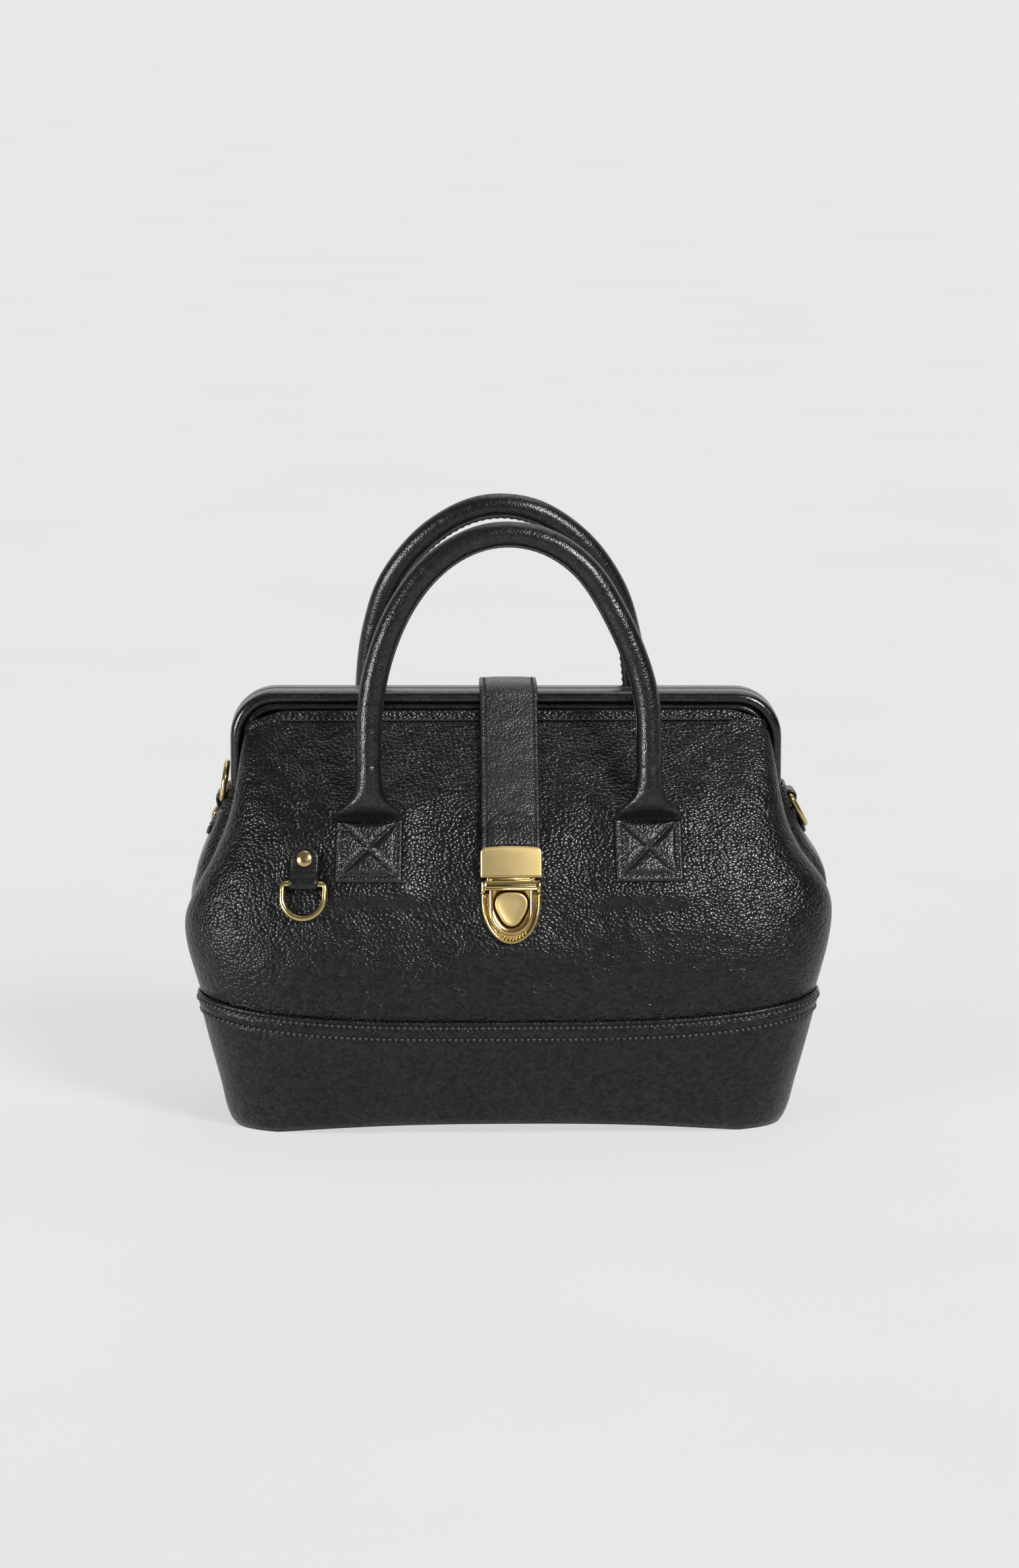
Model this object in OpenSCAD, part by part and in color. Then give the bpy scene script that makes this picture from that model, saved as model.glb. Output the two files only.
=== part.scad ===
// Doctor bag: a leather bag with a hinged steel mouth frame, two rolled handles and a tuck lock.
// Millimetres. X runs left to right, Y front to back, Z up; the bag stands on Z = 0.

/* [Bag body] */
// Greatest width across the gussets
bag_w = 317; // [300:1:330]
// Width of the base
base_w = 261; // [250:1:275]
// Greatest depth front to back
bag_d = 152; // [146:1:158]
// Thickness of the leather walls
wall = 2.2; // [1.6:0.1:2.6]
// Squareness of the corners seen from above
corner_power = 4.5; // [3.5:0.1:6]
// Height of the base band at the sides
band_h = 68.5; // [50:0.5:70]
// Thickness of the base band
band_t = 1.6; // [1:0.1:2]

/* [Mouth frame] */
// Overall width of the leather covered frame
frame_w = 270.6; // [264:0.2:272]
// Height of the top of the frame
frame_top = 211; // [208:0.5:214]
// Height of the frame's hinge pins
hinge_z = 135; // [132:0.5:138]
// Depth of one covered jaw
jaw_d = 12.5; // [11:0.5:13]
// Height of one covered jaw
jaw_h = 10; // [9:0.5:11]
// Outer radius of the frame's top corners
frame_corner = 24; // [18:1:30]
// Diameter of the steel rod inside a jaw
rod_d = 6; // [5:0.5:6.5]
// Diameter of the hinge pins
pin_d = 4; // [3:0.5:5]

/* [Handles] */
// Spacing of a handle's two legs
handle_span = 134.8; // [125:0.2:140]
// Height of a handle's crown centre
handle_top = 296; // [280:1:305]
// Diameter of the rolled leather
handle_d = 12.2; // [11:0.2:13]
// Width of a sewn handle tab
tab_w = 33.5; // [28:0.5:36]

/* [Strap and lock] */
// Width of the closing strap
strap_w = 28.3; // [24:0.1:30]
// Thickness of the closing strap
strap_t = 3; // [2.4:0.1:3.2]
// Sideways place of the strap and lock
strap_x = 0.8; // [-1:0.1:1]
// Width of the catch plate
catch_w = 29; // [28:0.5:33]
// Lean of the lock from upright
lock_tilt = 14; // [12:1:15]

/* [D rings] */
// Outer width of a D ring
ring_w = 23.4; // [22:0.2:25]
// Diameter of the ring wire
wire_d = 2.9; // [2.4:0.1:3]
// Width of a ring tab
ring_tab_w = 14; // [12:0.5:15]

/* [Hidden] */

leather = [0.06, 0.06, 0.065];
smooth_leather = [0.08, 0.08, 0.085];
brass = [0.85, 0.68, 0.35];
steel = [0.6, 0.6, 0.62];
cloth = [0.35, 0.33, 0.3];
board = [0.45, 0.36, 0.25];

gap = 0.15;
facets = 48;
side_steps = 36;
rise_steps = 9;

// ---- the bag's outer skin ----

widest = bag_w / 2;
deepest = bag_d / 2;
width_profile = [
    [0, base_w / 2], [10, base_w / 2 + 5], [50, base_w / 2 + 17.5], [62, widest - 7.3],
    [75, widest - 4], [100, widest], [112, widest - 2.5], [126, widest - 7.5],
    [140, widest - 14], [150, widest - 19], [165, widest - 28.5], [185, widest - 34.5],
    [200, widest - 38.5]
];
depth_profile = [
    [0, deepest - 19], [20, deepest - 12], [55, deepest - 4.5], [85, deepest],
    [105, deepest - 1.4], [125, deepest - 6], [135, deepest - 10], [150, deepest - 18],
    [165, deepest - 28], [185, deepest - 46], [200, deepest - 62]
];
side_top = 148;
centre_top = 165;
upper_top = 200;
upper_drop = 11;
seam_gap = 0.3;
upper_start = 8;
base_t = 2;
arch_rise = 6;
arch_half = 110;
band_gap = 0.5;
band_dip = 9.2;

function half_w(z) = lookup(z, width_profile);
function half_d(z) = lookup(z, depth_profile);
function squared(v, half) = half * sign(v) * pow(abs(v), 2 / corner_power);
function skin(u, z, off) = [squared(cos(u), half_w(z) + off), -squared(sin(u), half_d(z) + off), z];
// depth of the front skin at a place across and up the bag
function skin_y(x, z) = -half_d(z) * pow(1 - pow(abs(x) / half_w(z), corner_power), 1 / corner_power);
function mix(a, b, t) = a + (b - a) * t;
function wall_top(u) = mix(side_top, centre_top, pow(sin(u), 2));
function base_arch(x) = arch_rise * max(0, 1 - pow(x / arch_half, 2));
function skin_sheet(us, low, top, off) = [
    for (u = us) [
        for (j = [0:rise_steps]) skin(u, mix(low(u), top(u), j / rise_steps), off)
    ]
];

// A closed solid between an outer and an inner grid of points; columns run across, points run up.
module thick_sheet(outer, inner, closed = false) {
    cols = len(outer);
    rows = len(outer[0]);
    points = [for (grid = [outer, inner]) for (col = grid) for (p = col) p];
    function at(i, j, side) = side * cols * rows + (i % cols) * rows + j;
    last = closed ? cols - 1 : cols - 2;
    skins = [
        for (i = [0:last]) for (j = [0:rows - 2]) each [
            [at(i, j, 0), at(i + 1, j, 0), at(i + 1, j + 1, 0)],
            [at(i, j, 0), at(i + 1, j + 1, 0), at(i, j + 1, 0)],
            [at(i, j, 1), at(i + 1, j + 1, 1), at(i + 1, j, 1)],
            [at(i, j, 1), at(i, j + 1, 1), at(i + 1, j + 1, 1)]
        ]
    ];
    rims = [
        for (i = [0:last]) each [
            [at(i + 1, 0, 0), at(i, 0, 0), at(i, 0, 1)],
            [at(i + 1, 0, 0), at(i, 0, 1), at(i + 1, 0, 1)],
            [at(i, rows - 1, 0), at(i + 1, rows - 1, 0), at(i + 1, rows - 1, 1)],
            [at(i, rows - 1, 0), at(i + 1, rows - 1, 1), at(i, rows - 1, 1)]
        ]
    ];
    ends = closed ? [] : [
        for (j = [0:rows - 2]) each [
            [at(0, j, 0), at(0, j + 1, 0), at(0, j + 1, 1)],
            [at(0, j, 0), at(0, j + 1, 1), at(0, j, 1)],
            [at(cols - 1, j + 1, 0), at(cols - 1, j, 0), at(cols - 1, j, 1)],
            [at(cols - 1, j + 1, 0), at(cols - 1, j, 1), at(cols - 1, j + 1, 1)]
        ]
    ];
    polyhedron(points, concat(skins, rims, ends), convexity = 6);
}

half_turn = [for (i = [0:side_steps]) 180 * i / side_steps];
full_turn = [for (i = [0:2 * side_steps - 1]) 180 * i / side_steps];
upper_turn = [for (i = [0:side_steps]) mix(upper_start, 180 - upper_start, i / side_steps)];

// Front half of the lower wall; it ends just above the hinge at the sides
module lower_wall() {
    low = function(u) base_t + gap;
    top = function(u) wall_top(u);
    thick_sheet(skin_sheet(half_turn, low, top, 0), skin_sheet(half_turn, low, top, -wall));
}

module front_panel() {
    color(leather) lower_wall();
}

module back_panel() {
    color(leather) mirror([0, 1, 0]) lower_wall();
}

// Soft upper part of a panel, between the lower wall and the frame
module upper_wall() {
    low = function(u) wall_top(u) + seam_gap;
    top = function(u) upper_top - upper_drop * pow(cos(u), 6);
    thick_sheet(skin_sheet(upper_turn, low, top, 0), skin_sheet(upper_turn, low, top, -wall));
}

module front_upper_panel() {
    color(leather) upper_wall();
}

module rear_upper_panel() {
    color(leather) mirror([0, 1, 0]) upper_wall();
}

module base_band() {
    low = function(u) gap + base_arch(skin(u, base_t, 0)[0]);
    top = function(u) band_h - band_dip * (1 - pow(abs(cos(u)), 1.5));
    color(smooth_leather) thick_sheet(
        skin_sheet(full_turn, low, top, band_gap + band_t),
        skin_sheet(full_turn, low, top, band_gap),
        closed = true
    );
}

module base_outline(z, inset) {
    polygon([for (u = full_turn) let (p = skin(u, z, -inset)) [p[0], p[1]]]);
}

bottom_inset = 0.5;
module bottom_panel() {
    color(smooth_leather) linear_extrude(base_t) base_outline(0, bottom_inset);
}

board_t = 3;
board_inset = 5;
module base_board() {
    color(board) translate([0, 0, base_t + gap]) linear_extrude(board_t) base_outline(0, board_inset);
}

lining_inset = 5.6;
lining_t = 0.6;
lining_floor = base_t + board_t + 2 * gap;
lining_top = 138;
module lining() {
    low = function(u) lining_floor;
    top = function(u) lining_top;
    color(cloth) {
        thick_sheet(
            skin_sheet(full_turn, low, top, -lining_inset),
            skin_sheet(full_turn, low, top, -lining_inset - lining_t),
            closed = true
        );
        translate([0, 0, lining_floor]) linear_extrude(lining_t)
            base_outline(lining_floor, lining_inset + lining_t / 2);
    }
}

pocket_w = 150;
pocket_h = 70;
pocket_z = 48;
pocket_y = 61;
pocket_t = 1.2;
module inner_pocket() {
    color(cloth) translate([-pocket_w / 2, pocket_y, pocket_z]) cube([pocket_w, pocket_t, pocket_h]);
}

// ---- mouth frame ----

jaw_y = jaw_d / 2 + 0.5;
leg_x = frame_w / 2 - jaw_h / 2;
rail_z = frame_top - jaw_h / 2;
bend_r = frame_corner - jaw_h / 2;
cover_low = 153;
rod_low = 147;
rod_r = rod_d / 2;
front_round = 4.5;
inner_round = 1;
rod_clear = 0.05;

// Places its children along the inverted U of a jaw, from the given height up
module along_jaw(low) {
    for (side = [0, 1]) mirror([side, 0, 0]) {
        translate([leg_x, 0, low]) linear_extrude(rail_z - bend_r - low) children();
        translate([leg_x - bend_r, 0, rail_z - bend_r]) rotate([90, 0, 0]) rotate_extrude(angle = 90)
            translate([bend_r, 0]) mirror([0, 1]) children();
        translate([0, 0, rail_z]) rotate([0, 90, 0]) linear_extrude(leg_x - bend_r) mirror([1, 0]) children();
    }
}

// Section of the front jaw's cover: outward from the bag, then front to back. Its front edges are
// round and its inner edges nearly square, so the two jaws together read as one flat top.
module cover_section() {
    h = jaw_h / 2;
    d = jaw_d / 2;
    difference() {
        union() {
            translate([-h + front_round, -d]) square([jaw_h - 2 * front_round, jaw_d]);
            translate([-h, -d + front_round]) square([jaw_h, jaw_d - front_round - inner_round]);
            translate([-h + inner_round, 0]) square([jaw_h - 2 * inner_round, d]);
            for (side = [-1, 1]) {
                translate([side * (h - front_round), front_round - d]) circle(front_round, $fn = facets);
                translate([side * (h - inner_round), d - inner_round]) circle(inner_round, $fn = facets);
            }
        }
        circle(rod_r + rod_clear, $fn = facets);
    }
}

module rod_section() {
    circle(rod_r, $fn = facets);
}

ear_t = 2;
ear_r = 6;
ear_rod_r = 4;
ear_reach = 2;
ear_gap = 0.1;
pin_r = pin_d / 2;
pin_clear = 0.06;

// Flat steel ear between the rod's end and the pin, in the front jaw's place
module ear() {
    pin_place = [0, hinge_z];
    rod_place = [-jaw_y, rod_low + ear_reach];
    side = left_of(unit(rod_place - pin_place));
    rotate([90, 0, 90]) linear_extrude(ear_t) difference() {
        union() {
            translate(pin_place) circle(ear_r, $fn = facets);
            translate(rod_place) circle(ear_rod_r, $fn = facets);
            polygon([
                pin_place + ear_r * side, pin_place - ear_r * side,
                rod_place - ear_rod_r * side, rod_place + ear_rod_r * side
            ]);
        }
        translate(pin_place) circle(pin_r + pin_clear, $fn = facets);
    }
}

module jaw_rod(ear_out) {
    translate([0, -jaw_y, 0]) along_jaw(rod_low) rod_section();
    for (side = [0, 1]) mirror([side, 0, 0]) translate([leg_x + ear_out, 0, 0]) ear();
}

module front_frame() {
    color(steel) jaw_rod(-ear_t - ear_gap);
}

module rear_frame() {
    color(steel) mirror([0, 1, 0]) jaw_rod(ear_gap);
}

module jaw_cover() {
    translate([0, -jaw_y, 0]) along_jaw(cover_low) cover_section();
}

module front_frame_cover() {
    color(smooth_leather) jaw_cover();
}

module rear_frame_cover() {
    color(smooth_leather) mirror([0, 1, 0]) jaw_cover();
}

pin_head_t = 1.4;
pin_head_r = pin_r + 2;
module hinge_pin() {
    reach = ear_t + 4 * ear_gap;
    translate([leg_x, 0, hinge_z]) rotate([0, 90, 0]) {
        translate([0, 0, -reach]) cylinder(h = 2 * reach, r = pin_r, $fn = facets);
        for (place = [-reach - pin_head_t, reach]) translate([0, 0, place])
            cylinder(h = pin_head_t, r = pin_head_r, $fn = facets);
    }
}

module left_hinge_pin() {
    color(steel) mirror([1, 0, 0]) hinge_pin();
}

module right_hinge_pin() {
    color(steel) hinge_pin();
}

// ---- strap ----

strap_root = [14, 214];
strap_line = [
    strap_root, [-8.5, 214.6], [-13.6, 212.7], [-16.4, 208.6], [-33, 186.5], [-51.5, 165.2],
    [-60.5, 153.2], [-67.3, 143.4], [-70.8, 129.4]
];

function unit(v) = v / norm(v);
function left_of(v) = [-v[1], v[0]];
function line_dir(line, i) = unit(
    (i == 0 ? [0, 0] : unit(line[i] - line[i - 1]))
    + (i == len(line) - 1 ? [0, 0] : unit(line[i + 1] - line[i]))
);
function line_side(line, half) = [for (i = [0:len(line) - 1]) line[i] + half * left_of(line_dir(line, i))];
function reversed(list) = [for (i = [len(list) - 1:-1:0]) list[i]];

// A strip that follows a line drawn in the Y-Z plane
module strip(line, width, thick) {
    translate([strap_x - width / 2, 0, 0]) rotate([90, 0, 90]) linear_extrude(width)
        polygon(concat(line_side(line, thick / 2), reversed(line_side(line, -thick / 2))));
}

module strap() {
    color(smooth_leather) {
        strip(strap_line, strap_w, strap_t);
        translate([strap_x - strap_w / 2, strap_root[0], strap_root[1]]) rotate([0, 90, 0])
            cylinder(h = strap_w, r = strap_t / 2, $fn = facets);
    }
}

anchor_line = [[15.4, 210.2], [15.4, 202.5], [20, 198], [27, 191], [37.5, 180.5]];
anchor_t = 2.4;
module strap_anchor() {
    color(smooth_leather) strip(anchor_line, strap_w, anchor_t);
}

patch_t = 1.2;
patch_w = 20;
patch_line = [[-59.26, 158.52], [-62.28, 154.49], [-67.15, 147.47]];
module strap_end_patch() {
    color(smooth_leather) strip(patch_line, patch_w, patch_t);
}

// ---- tuck lock, drawn upright and leant on the bag ----

lock_y = -73.8;
lock_z = 111;
module on_lock() {
    translate([strap_x, lock_y, lock_z]) rotate([-lock_tilt, 0, 0]) children();
}

// Raises a drawing of the lock's face, X across and Y up, between two distances from its back
module raised(low, high) {
    translate([0, -low, 0]) rotate([90, 0, 0]) linear_extrude(high - low) children();
}

catch_r = catch_w / 2;
catch_t = 1.4;
catch_top = 13;
rim_w = 3;
rim_h = 3.2;
rim_top = 9.6;
module shield(r, top) {
    intersection() {
        circle(r, $fn = 2 * facets);
        translate([-r, -r]) square([2 * r, r]);
    }
    translate([-r, 0]) square([2 * r, top]);
}

module catch_plate() {
    color(brass) on_lock() {
        raised(0, catch_t) shield(catch_r, catch_top);
        raised(0, rim_h) difference() {
            shield(catch_r, rim_top);
            shield(catch_r - rim_w, rim_top + 1);
        }
    }
}

backing_w = 22;
backing_h = 16;
backing_face = -3.9;
module catch_backing() {
    color(steel) on_lock() raised(backing_face - 1, backing_face)
        square([backing_w, backing_h], center = true);
}

tongue_r = catch_r - rim_w - 0.4;
tongue_low = catch_t + 0.3;
tongue_high = 3.6;
plate_low = 18.2;
plate_high = 34.1;
plate_w = 30;
plate_face = 4.9;
plate_back = 3.25;
plate_side = 0.7;
bridge_w = 26.6;
bridge_low = 13;
bridge_high = 17.4;
bridge_face = 6.4;
button_clear = 0.2;
button_round = 3.5;

// Rounded triangle, point down
module pick_shape(grow) {
    r = button_round + grow;
    corners = [[-4.4, 8.4], [0, -1.2], [4.4, 8.4]];
    for (c = corners) translate(c) circle(r, $fn = facets);
    polygon([for (i = [0:2]) each let (
        a = corners[i],
        b = corners[(i + 1) % 3],
        side = -r * left_of(unit(b - a))
    ) [a + side, b + side]]);
}

module clasp_tongue() {
    color(brass) on_lock() raised(tongue_low, tongue_high) difference() {
        shield(tongue_r, plate_low);
        pick_shape(button_clear);
    }
}

module clasp_bridge() {
    color(brass) on_lock() raised(tongue_high, bridge_face)
        translate([-bridge_w / 2, bridge_low]) square([bridge_w, bridge_high - bridge_low]);
}

module clasp_plate() {
    tall = plate_high - plate_low;
    color(brass) on_lock() {
        raised(plate_back, plate_face) translate([-plate_w / 2, plate_low]) square([plate_w, tall]);
        for (side = [0, 1]) mirror([side, 0, 0]) raised(2 * gap, plate_face)
            translate([plate_w / 2 - plate_side, plate_low]) square([plate_side, tall]);
    }
}

button_low = tongue_high - 0.8;
button_face = 5.2;
module lock_button() {
    color(brass) on_lock() raised(button_low, button_face) pick_shape(0);
}

spring_r = 3;
spring_hole_r = 2;
spring_h = 3;
module button_spring() {
    color(steel) on_lock() raised(tongue_low, button_low - button_clear) translate([0, spring_h])
        difference() {
            circle(spring_r, $fn = facets);
            circle(spring_hole_r, $fn = facets);
        }
}

// ---- handles ----

pivot_y = 64;
pivot_z = 160;
crown_y = 47;
handle_lean = atan((pivot_y - crown_y) / (handle_top - pivot_z));
handle_r = handle_d / 2;
core_r = 4;
leg_low = 5.2;
leg_places = [leg_low, 16, 27];
arch_low = 38;
arch_high = (handle_top - pivot_z) / cos(handle_lean) - arch_low;
span = handle_span / 2;
rear_shift = -1.5;

handle_stations = concat(
    [for (s = leg_places) [[span, s], [1, 0]]],
    [for (a = [0:9:180]) [
        [span * cos(a), arch_low + arch_high * sin(a)],
        unit([cos(a) / span, sin(a) / arch_high])
    ]],
    [for (s = reversed(leg_places)) [[-span, s], [-1, 0]]]
);

// Point round a handle's tube: station, angle round it and radius
function tube_point(st, turn, r) = [
    st[0][0] + r * cos(turn) * st[1][0],
    r * sin(turn),
    st[0][1] + r * cos(turn) * st[1][1]
];

function tube_grid(sides, r) = [
    for (k = [0:sides - 1]) [for (st = handle_stations) tube_point(st, 360 * k / sides, r)]
];

module in_handle_place() {
    translate([0, -pivot_y, pivot_z]) rotate([-handle_lean, 0, 0]) children();
}

tube_sides = 12;
core_sides = 8;
core_hole_r = 0.8;
module rolled_handle() {
    in_handle_place()
        thick_sheet(tube_grid(tube_sides, handle_r), tube_grid(tube_sides, core_r + gap), closed = true);
}

module handle_core() {
    in_handle_place()
        thick_sheet(tube_grid(core_sides, core_r), tube_grid(core_sides, core_hole_r), closed = true);
}

module front_handle() {
    color(smooth_leather) rolled_handle();
}

module front_handle_core() {
    color(board) handle_core();
}

module rear_handle() {
    color(smooth_leather) translate([rear_shift, 0, 0]) mirror([0, 1, 0]) rolled_handle();
}

module rear_handle_core() {
    color(board) translate([rear_shift, 0, 0]) mirror([0, 1, 0]) handle_core();
}

neck_r = 4.6;
neck_w = 22;
module neck(x) {
    color(smooth_leather) translate([x - neck_w / 2, -pivot_y, pivot_z]) rotate([0, 90, 0])
        cylinder(h = neck_w, r = neck_r, $fn = facets);
}

module neck_front_left() {
    neck(-span);
}

module neck_front_right() {
    neck(span);
}

module neck_rear_left() {
    mirror([0, 1, 0]) neck(-span + rear_shift);
}

module neck_rear_right() {
    mirror([0, 1, 0]) neck(span + rear_shift);
}

// Lays its children on the front skin, upright face out
module on_skin(x, z, tilt, turn, off) {
    translate([x, skin_y(x, z) - off, z]) rotate([0, 0, turn]) rotate([-tilt, 0, 0]) children();
}

tab_mid = 140.5;
tab_t = 2.5;
tab_tall = tab_w + 3;
tab_tilt = 27;
tab_turn = 2.5;
tab_off = 0.9;
module handle_tab(x) {
    color(smooth_leather) on_skin(x, tab_mid, tab_tilt, tab_turn * sign(x), tab_off) raised(0, tab_t)
        square([tab_w, tab_tall], center = true);
}

module tab_front_left() {
    handle_tab(-span);
}

module tab_front_right() {
    handle_tab(span);
}

module tab_rear_left() {
    mirror([0, 1, 0]) handle_tab(-span + rear_shift);
}

module tab_rear_right() {
    mirror([0, 1, 0]) handle_tab(span + rear_shift);
}

// ---- D rings ----

wire_r = wire_d / 2;
wire_facets = 32;
ring_r = ring_w / 2 - wire_r;
ring_drop = 6.4;
loop_r = 3;
loop_clear = 0.08;
rivet_r = 3.8;
rivet_dome = 1.6;

// A D ring that hangs below its straight bar, which lies along X through the origin
module d_ring() {
    translate([-ring_r, 0, 0]) rotate([0, 90, 0]) cylinder(h = 2 * ring_r, r = wire_r, $fn = wire_facets);
    for (side = [-1, 1]) translate([side * ring_r, 0, 0]) {
        sphere(wire_r, $fn = wire_facets);
        translate([0, 0, -ring_drop]) cylinder(h = ring_drop, r = wire_r, $fn = wire_facets);
    }
    translate([0, 0, -ring_drop]) rotate([-90, 0, 0]) rotate_extrude(angle = 180)
        translate([ring_r, 0]) circle(wire_r, $fn = wire_facets);
}

// Leather strip with a loop for the ring at the origin's level and a round end at the given length
module ring_tab(length, thick) {
    straight = length - ring_tab_w / 2;
    difference() {
        union() {
            raised(0, thick) {
                translate([-ring_tab_w / 2, 0]) square([ring_tab_w, straight]);
                translate([0, straight]) circle(ring_tab_w / 2, $fn = facets);
            }
            translate([-ring_tab_w / 2, -loop_r, 0]) rotate([0, 90, 0])
                cylinder(h = ring_tab_w, r = loop_r, $fn = facets);
        }
        translate([-ring_tab_w, -loop_r, 0]) rotate([0, 90, 0])
            cylinder(h = 2 * ring_tab_w, r = wire_r + loop_clear, $fn = facets);
    }
}

// Domed rivet head on a strip of the given thickness
module rivet(up, thick) {
    ball = (rivet_r * rivet_r + rivet_dome * rivet_dome) / (2 * rivet_dome);
    translate([0, -thick, up]) rotate([90, 0, 0]) intersection() {
        translate([0, 0, rivet_dome - ball]) sphere(ball, $fn = facets);
        cylinder(h = 2 * rivet_dome, r = rivet_r, $fn = facets);
    }
}

front_ring_x = -98.5;
front_ring_z = 126;
front_ring_tilt = 20;
front_ring_turn = -7;
front_ring_off = 0.6;
front_tab_long = 19.5;
front_tab_t = 3.4;
front_rivet_up = 12.2;
module on_front_ring() {
    on_skin(front_ring_x, front_ring_z, front_ring_tilt, front_ring_turn, front_ring_off) children();
}

module front_ring_tab() {
    color(smooth_leather) on_front_ring() ring_tab(front_tab_long, front_tab_t);
}

module front_ring_rivet() {
    color(brass) on_front_ring() rivet(front_rivet_up, front_tab_t);
}

module front_ring() {
    color(brass) on_front_ring() translate([0, -loop_r, 0]) d_ring();
}

side_ring_x = widest - 21.4;
side_ring_z = 156.5;
side_tilt = 25;
side_tab_long = 21;
side_tab_t = 1.8;
side_rivet_down = 9;
ring_out = 3;
ring_up = 8;

// Lays its children on the right gusset, with the loop at the top and the strip running down
module on_side() {
    translate([side_ring_x, 0, side_ring_z]) rotate([0, -side_tilt, 0]) rotate([0, 0, 90]) children();
}

module side_tab() {
    on_side() mirror([0, 0, 1]) ring_tab(side_tab_long, side_tab_t);
}

module side_rivet() {
    on_side() mirror([0, 0, 1]) rivet(side_rivet_down, side_tab_t);
}

module left_ring_tab() {
    color(smooth_leather) mirror([1, 0, 0]) side_tab();
}

module left_ring_rivet() {
    color(brass) mirror([1, 0, 0]) side_rivet();
}

module right_ring_tab() {
    color(smooth_leather) side_tab();
}

module right_ring_rivet() {
    color(brass) side_rivet();
}

module right_ring() {
    color(brass) on_side() translate([0, -loop_r, 0]) rotate([-ring_out, 0, 0]) d_ring();
}

// The left ring stands up and leans on its loop, a little towards the bag
module left_ring() {
    bar = [side_ring_x + loop_r * cos(side_tilt), 0, side_ring_z + loop_r * sin(side_tilt)];
    color(brass) mirror([1, 0, 0]) translate(bar) rotate([0, -ring_up, 0]) rotate([180, 0, 90]) d_ring();
}

bottom_panel();
base_board();
base_band();
front_panel();
back_panel();
lining();
inner_pocket();
tab_front_left();
tab_front_right();
tab_rear_left();
tab_rear_right();
catch_plate();
catch_backing();
front_ring_tab();
front_ring_rivet();
left_ring_tab();
left_ring_rivet();
right_ring_tab();
right_ring_rivet();
left_hinge_pin();
right_hinge_pin();
front_frame();
front_frame_cover();
front_upper_panel();
rear_frame();
rear_frame_cover();
rear_upper_panel();
strap_anchor();
strap();
strap_end_patch();
clasp_plate();
clasp_tongue();
clasp_bridge();
lock_button();
button_spring();
neck_front_left();
neck_front_right();
neck_rear_left();
neck_rear_right();
front_handle();
front_handle_core();
rear_handle();
rear_handle_core();
front_ring();
left_ring();
right_ring();
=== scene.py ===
"""Doctor bag: leather shell, covered mouth frame, rolled handles, strap with a tuck lock, D rings.

Shapes are worked out in millimetres in the part's own frame (x right, y back, z up) and scaled once.
"""
import math

import bmesh
import bpy
import numpy as np
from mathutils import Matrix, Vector


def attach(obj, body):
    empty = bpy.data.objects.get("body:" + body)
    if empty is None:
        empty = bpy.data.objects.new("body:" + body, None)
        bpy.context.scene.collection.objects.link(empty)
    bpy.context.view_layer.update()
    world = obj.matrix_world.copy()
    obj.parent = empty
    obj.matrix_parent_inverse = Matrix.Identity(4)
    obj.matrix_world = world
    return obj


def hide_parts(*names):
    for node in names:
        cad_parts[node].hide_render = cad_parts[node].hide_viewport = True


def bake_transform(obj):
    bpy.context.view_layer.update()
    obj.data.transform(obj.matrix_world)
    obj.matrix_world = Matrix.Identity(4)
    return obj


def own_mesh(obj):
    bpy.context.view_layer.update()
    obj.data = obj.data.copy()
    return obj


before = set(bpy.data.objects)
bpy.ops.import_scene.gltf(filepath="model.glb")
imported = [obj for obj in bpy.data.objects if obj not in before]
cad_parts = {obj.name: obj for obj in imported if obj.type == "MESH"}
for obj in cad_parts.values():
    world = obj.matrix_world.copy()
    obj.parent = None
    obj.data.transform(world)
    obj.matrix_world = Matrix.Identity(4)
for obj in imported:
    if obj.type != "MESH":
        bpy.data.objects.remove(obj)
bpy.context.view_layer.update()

MM = 0.001

# ---------------------------------------------------------------- camera, light and floor

VIEW_WIDTH = 0.5028      # width seen at the bag's middle
CAMERA_DISTANCE = 2.35
CAMERA_LIFT = math.radians(10)
CAMERA_TURN = math.radians(-1.2)
CAMERA_TARGET = Vector((0.0015, 0, 0.163))


def aim(obj, target):
    obj.rotation_euler = (target - obj.location).to_track_quat("-Z", "Y").to_euler()


def make_camera():
    data = bpy.data.cameras.new("camera")
    data.sensor_fit = "HORIZONTAL"
    data.lens = data.sensor_width * CAMERA_DISTANCE / VIEW_WIDTH
    camera = bpy.data.objects.new("camera", data)
    bpy.context.scene.collection.objects.link(camera)
    camera.location = CAMERA_TARGET + CAMERA_DISTANCE * Vector((
        math.sin(CAMERA_TURN) * math.cos(CAMERA_LIFT),
        -math.cos(CAMERA_TURN) * math.cos(CAMERA_LIFT),
        math.sin(CAMERA_LIFT),
    ))
    aim(camera, CAMERA_TARGET)
    bpy.context.scene.camera = camera


def far_softbox(name, source, spread, power):
    """A softbox so far off that it lights the whole floor evenly: its direction and its width in degrees."""
    data = bpy.data.lights.new(name, "SUN")
    data.angle, data.energy = math.radians(spread), power
    light = bpy.data.objects.new(name, data)
    bpy.context.scene.collection.objects.link(light)
    light.location = source
    aim(light, Vector((0, 0, 0)))


# ---------------------------------------------------------------- materials


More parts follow.
